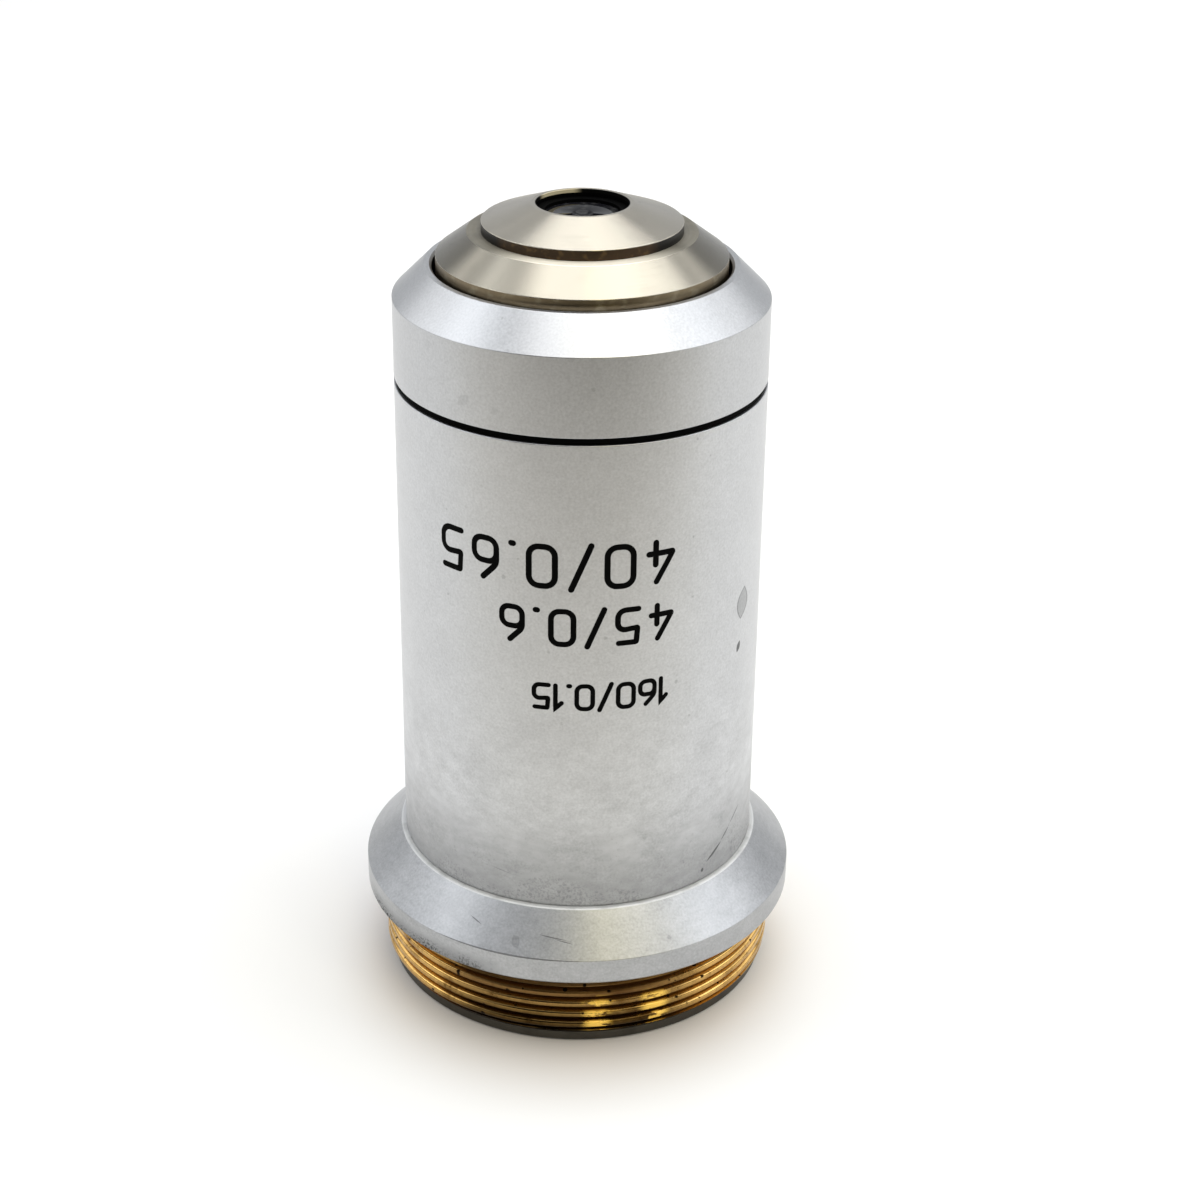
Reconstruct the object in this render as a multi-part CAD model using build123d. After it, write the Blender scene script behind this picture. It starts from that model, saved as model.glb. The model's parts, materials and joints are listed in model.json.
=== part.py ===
"""Spring-loaded high-dry microscope objective, standing on its thread end with the nose up.

The optical axis is Z and the foot of the mounting thread stands on Z = 0. Each turned piece is a half section in
radius and height that is revolved about the axis. Radii are worked out from the lens cells outwards, heights from the
shoulder of the thread upwards and from the nose tip downwards.
"""

import os
from dataclasses import dataclass
from math import copysign, sqrt

from build123d import *

# Clearances between pieces
SLIP_FIT = 0.02  # radial gap of pieces that are screwed or slid into each other
RUN_FIT = 0.03  # radial gap of the sliding barrel in its guides
CEMENT = 0.01  # layer between cemented lenses
EDGE_BREAK = 0.15  # chamfer that breaks the edges that show
INNER_BREAK = 0.4  # chamfer at the mouths of bores

# Mounting end: plain foot, M25 x 0.75 thread, relief and shoulder flange
THREAD_D = 24.95
THREAD_L = 3.9
FOOT_D = 24.18
FOOT_H = 0.7
RELIEF_D = 23.9
RELIEF_L = 0.7
UNDERCUT_W = 0.65  # groove of the relief in the shoulder, so that the seat clears the thread
UNDERCUT_H = 0.1
FLANGE_D = 27.28
FLANGE_RIM_H = 1.67
FLANGE_CONE_H = 2.28
COLLAR_LIP = 0.23  # flat ledge of the flange that shows round the sleeve
SHOULDER_TO_TIP = 44.7  # 45 mm parfocal length less the working distance

# Rear recess of the mount and the tube that guides the barrel
RECESS_WALL = 1.95  # least wall round the recess, in the foot or behind the relief
RECESS_DEPTH = 6.0
REAR_GUIDE_L = 6.5
TUBE_WALL = 1.33
TUBE_GAP = 0.4  # room between guide tube and cap
SLEEVE_WALL = 1.15

# Black ring and front cap
CODE_RING_H = 0.42
CODE_RING_INSET = 0.15
CAP_BODY_H = 4.74
CAP_CONE_H = 1.89
CAP_LAND = 0.47  # flat front of the cap between its cone and its bore
CAP_BORE_L = 4.96
CAP_SPIGOT_L = 4.2

# Moving nose
TRAVEL = 2.0
NOSE_GAP = 0.21  # dark gap between nose shell and cap
NOSE_STAND = 0.54  # height of the nose rim above the cap
SKIRT_WALL = 1.41
LOWER_CONE_H = 1.35
LEDGE_W = 0.83  # flat ledge of the nose shell that shows round the front cell
UPPER_BAND_H = 0.62
UPPER_CONE_H = 1.03
FRONT_CELL_D = 11.74
STEM_D = 9.16
STEM_L = 2.9
APERTURE_D = 5.42
APERTURE_DEPTH = 0.45
TIP_LAND = 0.25
WINDOW_D = 4.0
WINDOW_LIP = 0.2

# Sliding barrel with its stop ring and lock ring
CELL_D = 12.36
BARREL_WALL = 1.1
NECK_WALL = 0.9
NECK_L = 3.7
FRONT_WALL = 1.4
FRONT_PORT_D = 9.8
GUIDE_L = 10.2
RING_STEP = 0.17
STOP_LAND = 0.54  # radial overlap of the stop ring on the ledge of the cap
STOP_ROOM = 0.1
STOP_RING_H = 1.3
LOCK_RING_H = 1.1
TAIL_ROOM = 0.6  # room behind the barrel when the nose is pushed in

# Return spring of rectangular wire
SPRING_WIRE = 0.9
SPRING_WIRE_H = 0.8
SPRING_TURNS = 3.5
SPRING_ROOM = 0.2

# Guide screw and centring screws
GUIDE_SCREW_D = 2.0
GUIDE_TIP_D = 1.4
GUIDE_SLOT_DEPTH = 1.05
GUIDE_SCREW_DROP = 5.2  # axis of the screw below the top of the guide tube
CENTRING_SCREW_D = 1.6
CENTRING_SCREWS = 3
SCREW_SLOT_W = 0.3
SCREW_SLOT_DEPTH = 0.4
SCREW_INSET = 0.1  # screw heads lie this far below the wall around them
BACK = 90.0  # angle of the side away from the marking

# Rings behind the lens groups
APERTURE_STOP_H = 0.4
APERTURE_STOP_BORE = 5.0
SPACER_BORE = 10.8
RETAINING_RING_H = 2.0
RETAINING_RING_BORE = 9.2
RETAINING_RING_INSET = 1.8
BAFFLE_H = 1.5
BAFFLE_W = 4.18
BAFFLE_TAPER = 1.0
SPANNER_SLOT_W = 1.2
SPANNER_SLOT_DEPTH = 0.6

# Lens cells
LENS_DROP = 0.4  # lenses lie this far below both ends of their cell
SEAT_W = 0.4  # radial width of the ledge that a lens sits on

# Lenses, with positive radii for surfaces that fall towards the rim
FRONT_LENS_D = 4.6
FRONT_LENS_EDGE = 0.9
FRONT_LENS_R = 3.2
PUPIL_D = 1.3
PUPIL_R = 1.1
STEM_BORE_D = 6.8
SECOND_D = 7.2
SECOND_T = 2.4
SECOND_FRONT_R = 8.0
SECOND_REAR_R = 5.2
DOUBLET_D = 9.6
DOUBLET_FLINT_T = 0.9
DOUBLET_CROWN_T = 4.0
DOUBLET_CEMENT_R = 9.0
DOUBLET_REAR_R = 11.0
REAR_D = 8.4
REAR_CROWN_T = 2.6
REAR_FLINT_T = 1.2
REAR_FRONT_R = 9.0
REAR_HOLLOW_R = 6.5

# Radii from the lens cells outwards
cell_r = CELL_D / 2
barrel_bore_r = cell_r + SLIP_FIT
tail_r = barrel_bore_r + BARREL_WALL
spring_mean_r = tail_r + SPRING_ROOM + SPRING_WIRE / 2
guide_bore_r = spring_mean_r + SPRING_WIRE / 2 + SPRING_ROOM
guide_r = guide_bore_r - RUN_FIT
ring_seat_r = guide_r - RING_STEP
tube_r = guide_bore_r + TUBE_WALL
sleeve_bore_r = tube_r + SLIP_FIT
sleeve_r = sleeve_bore_r + SLEEVE_WALL
collar_r = sleeve_r + COLLAR_LIP
neck_r = barrel_bore_r + NECK_WALL
skirt_bore_r = neck_r + SLIP_FIT
nose_r = skirt_bore_r + SKIRT_WALL
cap_bore_r = nose_r + NOSE_GAP
stop_ring_r = cap_bore_r + STOP_LAND
cap_spigot_bore_r = stop_ring_r + STOP_ROOM
thread_r = THREAD_D / 2
foot_r = FOOT_D / 2
relief_r = RELIEF_D / 2
recess_r = min(foot_r, relief_r) - RECESS_WALL
stem_r = STEM_D / 2
front_cell_r = FRONT_CELL_D / 2
aperture_r = APERTURE_D / 2

# Heights of the body, from the foot upwards
thread_top_z = FOOT_H + THREAD_L
shoulder_z = thread_top_z + RELIEF_L
flange_rim_z = shoulder_z + FLANGE_RIM_H
collar_z = flange_rim_z + FLANGE_CONE_H
spring_seat_z = RECESS_DEPTH + REAR_GUIDE_L

# Heights of the nose and the cap, from the tip downwards
tip_z = shoulder_z + SHOULDER_TO_TIP
upper_rim_z = tip_z - UPPER_CONE_H
cell_seat_z = upper_rim_z - UPPER_BAND_H
nose_rim_z = cell_seat_z - LOWER_CONE_H
cap_top_z = nose_rim_z - NOSE_STAND
cap_edge_z = cap_top_z - CAP_CONE_H
cap_foot_z = cap_edge_z - CAP_BODY_H
sleeve_top_z = cap_foot_z - CODE_RING_H
cap_spigot_z = cap_foot_z - CAP_SPIGOT_L
stop_z = cap_top_z - CAP_BORE_L

# Heights of the barrel
barrel_front_z = stop_z + NECK_L
stack_top_z = barrel_front_z - FRONT_WALL
stop_ring_z = stop_z - STOP_RING_H
lock_ring_z = stop_ring_z - LOCK_RING_H
tube_top_z = cap_spigot_z - TUBE_GAP
spring_top_z = tube_top_z - GUIDE_L
guide_screw_z = tube_top_z - GUIDE_SCREW_DROP
tail_z = RECESS_DEPTH + TRAVEL + TAIL_ROOM
stack_foot_z = tail_z + RETAINING_RING_INSET
window_z = tip_z - APERTURE_DEPTH
front_lens_z = window_z - WINDOW_LIP


def turned(*section):
    """Solid of revolution from the corners (radius, height) of its half section."""
    return revolve(Plane.XZ * make_face(Polyline(*section, close=True)), Axis.Z)


def ring(inner_r, outer_r, low_z, high_z):
    """Plain ring of rectangular section."""
    return turned((inner_r, low_z), (outer_r, low_z), (outer_r, high_z), (inner_r, high_z))


def break_edges(solid, size, *places):
    """Chamfer the round edges that lie at the given (radius, height) places."""
    near = SLIP_FIT / 2

    def is_at_a_place(edge):
        return any(abs(edge.radius - r) < near and abs(edge.arc_center.Z - z) < near for r, z in places)

    return chamfer(solid.edges().filter_by(GeomType.CIRCLE).filter_by(is_at_a_place), size)


def radial_pin(diameter, inner_r, outer_r, height, angle=0.0):
    """Cylinder that lies along a radius, from inner_r to outer_r, turned to an angle about the axis."""
    pin = Cylinder(diameter / 2, outer_r - inner_r, align=(Align.CENTER, Align.CENTER, Align.MIN))
    return Rot(0, 0, angle) * Pos(inner_r, 0, height) * Rot(0, 90, 0) * pin


def cut_spanner_slots(part, outer_r, low_z):
    """Cut one slot right across the lower face of a ring, for a two-pin spanner."""
    slot = Box(2 * outer_r, SPANNER_SLOT_W, SPANNER_SLOT_DEPTH, align=(Align.CENTER, Align.CENTER, Align.MIN))
    return part - Pos(0, 0, low_z) * slot


@dataclass
class LensGroup:
    """Lenses cemented into one block, given from front to rear.

    radii holds one radius for each surface: positive falls towards the rim, negative rises, None is flat.
    """

    diameter: float
    radii: list
    thicknesses: list
    front_z: float = 0.0

    def vertex_z(self, surface):
        """Height of a surface on the axis."""
        return self.front_z - sum(self.thicknesses[:surface])

    def surface_z(self, surface, at_r):
        """Height of a surface at a distance from the axis."""
        radius = self.radii[surface]
        if radius is None:
            return self.vertex_z(surface)
        return self.vertex_z(surface) - copysign(sag(abs(radius), at_r), radius)

    def top_z(self):
        """Height of the foremost point."""
        return max(self.vertex_z(0), self.surface_z(0, self.diameter / 2))

    def foot_z(self):
        """Height of the rearmost point."""
        last = len(self.thicknesses)
        return min(self.vertex_z(last), self.surface_z(last, self.diameter / 2))

    def cell_top_z(self):
        """Height of the front face of the cell."""
        return self.top_z() + LENS_DROP

    def cell_foot_z(self):
        """Height of the rear face of the cell."""
        return self.foot_z() - LENS_DROP

    def hang_below(self, height):
        """Move the block so that its cell ends below a height."""
        self.front_z += height - self.cell_top_z()

    def stand_above(self, height):
        """Move the block so that its cell stands on a height."""
        self.front_z += height - self.cell_foot_z()

    def ball(self, surface, drop=0.0):
        """Ball whose skin is a surface of the block, moved back by drop."""
        radius = self.radii[surface]
        return Pos(0, 0, self.vertex_z(surface) - radius - drop) * Sphere(abs(radius), rotation=(90, 0, 0))

    def lens(self, index):
        """One lens of the block, with a layer of cement in front of it unless it is the first."""
        rim_r = self.diameter / 2
        front, rear = index, index + 1
        cement = CEMENT if index else 0.0
        top_z = max(self.vertex_z(front), self.surface_z(front, rim_r)) - cement
        foot_z = min(self.vertex_z(rear), self.surface_z(rear, rim_r))
        high_z = top_z if self.radii[front] is None else top_z + LENS_DROP
        low_z = foot_z if self.radii[rear] is None else foot_z - LENS_DROP
        blank = Cylinder(rim_r, high_z - low_z, align=(Align.CENTER, Align.CENTER, Align.MIN))
        lens = Pos(0, 0, low_z) * blank
        if self.radii[front] is not None:
            ball = self.ball(front, cement)
            lens = lens & ball if self.radii[front] > 0 else lens - ball
        if self.radii[rear] is not None:
            ball = self.ball(rear)
            lens = lens - ball if self.radii[rear] > 0 else lens & ball
        return lens

    def cell(self):
        """Ring that holds the block: a bore down to a ledge, and the smaller port of the ledge."""
        last = len(self.thicknesses)
        bore_r = self.diameter / 2 + SLIP_FIT
        port_r = self.diameter / 2 - SEAT_W
        seat_z = min(self.surface_z(last, self.diameter / 2), self.surface_z(last, port_r))
        return turned(
            (port_r, self.cell_foot_z()),
            (cell_r, self.cell_foot_z()),
            (cell_r, self.cell_top_z()),
            (bore_r, self.cell_top_z()),
            (bore_r, seat_z),
            (port_r, seat_z),
        )


def sag(radius, at_r):
    """Depth of a sphere's cap of the given radius at a distance from its axis."""
    return radius - sqrt(radius**2 - at_r**2)


# Lens groups in the barrel: two hang from its front wall, the rear one stands on the retaining ring
second = LensGroup(SECOND_D, [-SECOND_FRONT_R, -SECOND_REAR_R], [SECOND_T])
second.hang_below(stack_top_z)
doublet = LensGroup(
    DOUBLET_D,
    [None, DOUBLET_CEMENT_R, -DOUBLET_REAR_R],
    [DOUBLET_FLINT_T, DOUBLET_CROWN_T],
)
doublet.hang_below(second.cell_foot_z())
rear = LensGroup(REAR_D, [REAR_FRONT_R, None, REAR_HOLLOW_R], [REAR_CROWN_T, REAR_FLINT_T])
rear.stand_above(stack_foot_z + RETAINING_RING_H)
centring_screw_z = (doublet.cell_top_z() + doublet.cell_foot_z()) / 2
centring_angles = [360 / CENTRING_SCREWS * number for number in range(CENTRING_SCREWS)]
front_lens_t = FRONT_LENS_EDGE + sag(FRONT_LENS_R, FRONT_LENS_D / 2)


def make_thread_mount():
    """Foot, thread, flange and guide tube, turned from one bar."""
    flange_r = FLANGE_D / 2
    mount = turned(
        (recess_r, 0),
        (foot_r, 0),
        (foot_r, FOOT_H),
        (thread_r, FOOT_H),
        (thread_r, thread_top_z),
        (relief_r, thread_top_z),
        (relief_r, shoulder_z),
        (flange_r, shoulder_z),
        (flange_r, flange_rim_z),
        (collar_r, collar_z),
        (tube_r, collar_z),
        (tube_r, tube_top_z),
        (guide_bore_r, tube_top_z),
        (guide_bore_r, spring_seat_z),
        (tail_r + RUN_FIT, spring_seat_z),
        (tail_r + RUN_FIT, RECESS_DEPTH),
        (recess_r, RECESS_DEPTH),
    )
    mount = break_edges(mount, EDGE_BREAK, (flange_r, shoulder_z), (foot_r, 0))
    mount = break_edges(mount, INNER_BREAK, (recess_r, 0))
    mount -= ring(relief_r, relief_r + UNDERCUT_W, shoulder_z, shoulder_z + UNDERCUT_H)
    return mount - radial_pin(GUIDE_SCREW_D + 2 * SLIP_FIT, guide_r, sleeve_bore_r, guide_screw_z, BACK)


def make_outer_sleeve():
    """Plain tube between the flange and the black ring."""
    sleeve = ring(sleeve_bore_r, sleeve_r, collar_z, sleeve_top_z)
    return break_edges(sleeve, EDGE_BREAK, (sleeve_r, collar_z))


def make_code_ring():
    """Black ring in the groove between sleeve and cap."""
    return ring(sleeve_bore_r, sleeve_r - CODE_RING_INSET, sleeve_top_z, cap_foot_z)


def make_front_cap():
    """Cap with a cone, a bore round the nose, a ledge for the stop ring and a spigot in the sleeve."""
    cap = turned(
        (cap_spigot_bore_r, cap_spigot_z),
        (tube_r, cap_spigot_z),
        (tube_r, cap_foot_z),
        (sleeve_r, cap_foot_z),
        (sleeve_r, cap_edge_z),
        (cap_bore_r + CAP_LAND, cap_top_z),
        (cap_bore_r, cap_top_z),
        (cap_bore_r, stop_z),
        (cap_spigot_bore_r, stop_z),
    )
    return break_edges(cap, EDGE_BREAK, (cap_bore_r, cap_top_z))


def make_rear_baffle():
    """Black ring at the bottom of the rear recess, with a tapered bore for the light."""
    outer_r = recess_r - SLIP_FIT
    bore_r = outer_r - BAFFLE_W
    foot_z = RECESS_DEPTH - BAFFLE_H
    baffle = turned(
        (bore_r, RECESS_DEPTH),
        (outer_r, RECESS_DEPTH),
        (outer_r, foot_z),
        (bore_r + BAFFLE_TAPER, foot_z),
    )
    return cut_spanner_slots(baffle, outer_r, foot_z)


def make_return_spring():
    """Coil of rectangular wire with both ends ground flat."""
    length = spring_top_z - spring_seat_z
    coil = Pos(0, 0, spring_seat_z) * Helix(length / SPRING_TURNS, length, spring_mean_r)
    start = Plane(coil @ 0, x_dir=(1, 0, 0), z_dir=coil % 0)
    wire = sweep(start * Rectangle(SPRING_WIRE, SPRING_WIRE_H), path=coil, is_frenet=True)
    room = Cylinder(guide_bore_r, length, align=(Align.CENTER, Align.CENTER, Align.MIN))
    return wire & Pos(0, 0, spring_seat_z) * room


def make_guide_screw():
    """Slotted dog-point screw in the wall of the guide tube, at the back."""
    head_r = tube_r - SCREW_INSET
    screw = radial_pin(GUIDE_SCREW_D, guide_bore_r, head_r, guide_screw_z, BACK)
    screw += radial_pin(GUIDE_TIP_D, guide_r - GUIDE_SLOT_DEPTH + RUN_FIT, head_r, guide_screw_z, BACK)
    return screw - Pos(0, head_r, guide_screw_z) * Box(GUIDE_SCREW_D, 2 * SCREW_SLOT_DEPTH, SCREW_SLOT_W)


def make_lens_barrel():
    """Sliding tube: tail through the spring, guide with a slot, seat of the stop ring, and the neck of the nose."""
    barrel = turned(
        (barrel_bore_r, tail_z),
        (tail_r, tail_z),
        (tail_r, spring_top_z),
        (guide_r, spring_top_z),
        (guide_r, tube_top_z),
        (ring_seat_r, tube_top_z),
        (ring_seat_r, stop_z),
        (neck_r, stop_z),
        (neck_r, barrel_front_z),
        (FRONT_PORT_D / 2, barrel_front_z),
        (FRONT_PORT_D / 2, stack_top_z),
        (barrel_bore_r, stack_top_z),
    )
    floor = Plane(
        (0, guide_r - GUIDE_SLOT_DEPTH, guide_screw_z + TRAVEL / 2),
        x_dir=(0, 0, 1),
        z_dir=(0, 1, 0),
    )
    slot = SlotCenterToCenter(TRAVEL, GUIDE_TIP_D + 2 * RUN_FIT)
    barrel -= extrude(floor * slot, GUIDE_SLOT_DEPTH + RUN_FIT)
    for angle in centring_angles:
        barrel -= radial_pin(CENTRING_SCREW_D + 2 * SLIP_FIT, cell_r, guide_bore_r, centring_screw_z, angle)
    return barrel


def make_centring_screws():
    """Slotted grub screws in the wall of the barrel that push on the doublet's cell."""
    head_r = ring_seat_r - SCREW_INSET
    screw = radial_pin(CENTRING_SCREW_D, barrel_bore_r, head_r, centring_screw_z)
    screw -= Pos(head_r, 0, centring_screw_z) * Box(2 * SCREW_SLOT_DEPTH, CENTRING_SCREW_D, SCREW_SLOT_W)
    return Compound([Rot(0, 0, angle) * screw for angle in centring_angles])


def make_nose_shell():
    """Polished skirt with the lower cone, screwed on the neck of the barrel."""
    inside_z = barrel_front_z + STOP_ROOM
    return turned(
        (skirt_bore_r, stop_z),
        (nose_r, stop_z),
        (nose_r, nose_rim_z),
        (front_cell_r + LEDGE_W, cell_seat_z),
        (stem_r + SLIP_FIT, cell_seat_z),
        (stem_r + SLIP_FIT, inside_z),
        (skirt_bore_r, inside_z),
    )


def make_front_cell():
    """Polished upper cone with the aperture, a lip in front of the lens and a stem in the nose shell."""
    lens_bore_r = FRONT_LENS_D / 2 + SLIP_FIT
    stem_foot_z = cell_seat_z - STEM_L
    return turned(
        (STEM_BORE_D / 2, stem_foot_z),
        (stem_r, stem_foot_z),
        (stem_r, cell_seat_z),
        (front_cell_r, cell_seat_z),
        (front_cell_r, upper_rim_z),
        (aperture_r + TIP_LAND, tip_z),
        (aperture_r, tip_z),
        (aperture_r, window_z),
        (WINDOW_D / 2, window_z),
        (WINDOW_D / 2, front_lens_z),
        (lens_bore_r, front_lens_z),
        (lens_bore_r, front_lens_z - front_lens_t),
        (STEM_BORE_D / 2, front_lens_z - front_lens_t),
    )


def make_front_lens():
    """Steep dome with a small hollow ground into its flat front."""
    dome = LensGroup(FRONT_LENS_D, [None, -FRONT_LENS_R], [front_lens_t], front_lens_z)
    hollow_z = front_lens_z + PUPIL_R - sag(PUPIL_R, PUPIL_D / 2)
    return dome.lens(0) - Pos(0, 0, hollow_z) * Sphere(PUPIL_R, rotation=(90, 0, 0))


def make_retaining_ring():
    """Ring with spanner slots that clamps the stack of cells."""
    retainer = ring(RETAINING_RING_BORE / 2, cell_r, stack_foot_z, stack_foot_z + RETAINING_RING_H)
    return cut_spanner_slots(retainer, cell_r, stack_foot_z)


def make_body_pieces():
    """Pieces that stay with the microscope."""
    return {
        "thread_mount": make_thread_mount(),
        "outer_sleeve": make_outer_sleeve(),
        "code_ring": make_code_ring(),
        "front_cap": make_front_cap(),
        "rear_baffle": make_rear_baffle(),
        "return_spring": make_return_spring(),
        "guide_screw": make_guide_screw(),
    }


def make_nose_pieces():
    """Pieces that slide with the nose, apart from the lens groups."""
    ring_bore_r = ring_seat_r + SLIP_FIT
    return {
        "lens_barrel": make_lens_barrel(),
        "stop_ring": ring(ring_bore_r, stop_ring_r, stop_ring_z, stop_z),
        "lock_ring": ring(ring_bore_r, stop_ring_r - STOP_ROOM, lock_ring_z, stop_ring_z),
        "centring_screws": make_centring_screws(),
        "nose_shell": make_nose_shell(),
        "front_cell": make_front_cell(),
        "front_lens": make_front_lens(),
    }


def make_lens_stack():
    """Cells, lenses and rings in the bore of the barrel, from its front wall to the retaining ring."""
    aperture_foot_z = doublet.cell_foot_z() - APERTURE_STOP_H
    return {
        "second_cell": second.cell(),
        "second_lens": second.lens(0),
        "doublet_cell": doublet.cell(),
        "doublet_flint": doublet.lens(0),
        "doublet_crown": doublet.lens(1),
        "aperture_stop": ring(APERTURE_STOP_BORE / 2, cell_r, aperture_foot_z, doublet.cell_foot_z()),
        "spacer_tube": ring(SPACER_BORE / 2, cell_r, rear.cell_top_z(), aperture_foot_z),
        "rear_cell": rear.cell(),
        "rear_crown": rear.lens(0),
        "rear_flint": rear.lens(1),
        "retaining_ring": make_retaining_ring(),
    }


def main():
    """Write each piece to a file of its own."""
    os.makedirs("parts", exist_ok=True)
    pieces = make_body_pieces() | make_nose_pieces() | make_lens_stack()
    for name, piece in pieces.items():
        export_step(piece, f"parts/{name}.step")


if __name__ == "__main__":
    main()
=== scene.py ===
"""Looks of a spring-loaded microscope objective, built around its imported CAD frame.

Places are in the CAD's frame: the optical axis is Z, the foot of the mounting thread stands on Z = 0 and the marking
faces -Y. Sizes are written in millimetres and turned into metres where meshes are made. Angles about the axis start at
the front and grow to the right.
"""

import json
import logging
import math
from dataclasses import dataclass, field
from enum import Enum

import bmesh
import bpy
from mathutils import Matrix, Vector


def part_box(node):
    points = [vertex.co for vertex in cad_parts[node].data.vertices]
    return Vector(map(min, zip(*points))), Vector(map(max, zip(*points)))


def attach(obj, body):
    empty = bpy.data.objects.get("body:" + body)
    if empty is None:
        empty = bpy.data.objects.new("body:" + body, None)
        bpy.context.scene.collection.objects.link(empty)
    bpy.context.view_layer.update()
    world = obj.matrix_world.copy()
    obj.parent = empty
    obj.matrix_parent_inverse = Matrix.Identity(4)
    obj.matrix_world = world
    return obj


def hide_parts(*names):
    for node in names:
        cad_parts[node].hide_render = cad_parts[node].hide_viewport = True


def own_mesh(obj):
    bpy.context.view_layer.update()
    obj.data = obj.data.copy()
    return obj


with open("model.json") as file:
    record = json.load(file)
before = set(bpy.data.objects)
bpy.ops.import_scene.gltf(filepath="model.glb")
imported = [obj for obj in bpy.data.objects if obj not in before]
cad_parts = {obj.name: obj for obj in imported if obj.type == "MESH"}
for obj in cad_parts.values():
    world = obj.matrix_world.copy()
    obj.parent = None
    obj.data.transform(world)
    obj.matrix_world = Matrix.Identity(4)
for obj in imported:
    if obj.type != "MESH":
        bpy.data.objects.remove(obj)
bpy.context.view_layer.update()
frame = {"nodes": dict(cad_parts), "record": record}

MM = 0.001
PHOTO_SIDE = 1200
log = logging.getLogger("objective")

Colour = tuple[float, float, float, float]
Point = tuple[float, float]
Sector = tuple[float, float]
Socket = bpy.types.NodeSocket
Value = Socket | float | tuple

NO_LIGHT: Colour = (0.0, 0.0, 0.0, 1.0)
ON_AXIS = 1e-6
SHARP_FROM = math.radians(35)
ARC_SHARE = 0.4  # of a side's length, the most that one rounding takes
HOLD_SHARE = 0.25  # of a rounding's reach, how far off its support points stand


class Body(str, Enum):
    """CAD bodies that pieces ride on."""

    FIXED = "body"
    NOSE = "nose"


class Slot(str, Enum):
    """Material slots of the record."""

    BRASS = "mount_brass"
    CHROME = "satin_chrome"
    NICKEL = "polished_nickel"
    BLACK = "black_finish"
    BLACK_BRASS = "black_brass"
    SPRING = "spring_steel"
    SCREW = "screw_steel"
    FRONT_GLASS = "front_glass"
    LENS_GLASS = "lens_glass"


def srgb(red: int, green: int, blue: int) -> Colour:
    """Turn a colour written as on a screen into Blender's linear numbers.

    Args:
        red: Red from 0 to 255.
        green: Green from 0 to 255.
        blue: Blue from 0 to 255.

    Returns:
        Linear red, green and blue with full alpha.
    """

    def linear(value: int) -> float:
        """Linear share of one channel."""
        share = value / 255
        return share / 12.92 if share <= 0.04045 else ((share + 0.055) / 1.055) ** 2.4

    return (linear(red), linear(green), linear(blue), 1.0)


def brighter(colour: Colour, times: float) -> Colour:
    """A colour with its red, green and blue made brighter."""
    red, green, blue, alpha = colour
    return (red * times, green * times, blue * times, alpha)


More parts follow.
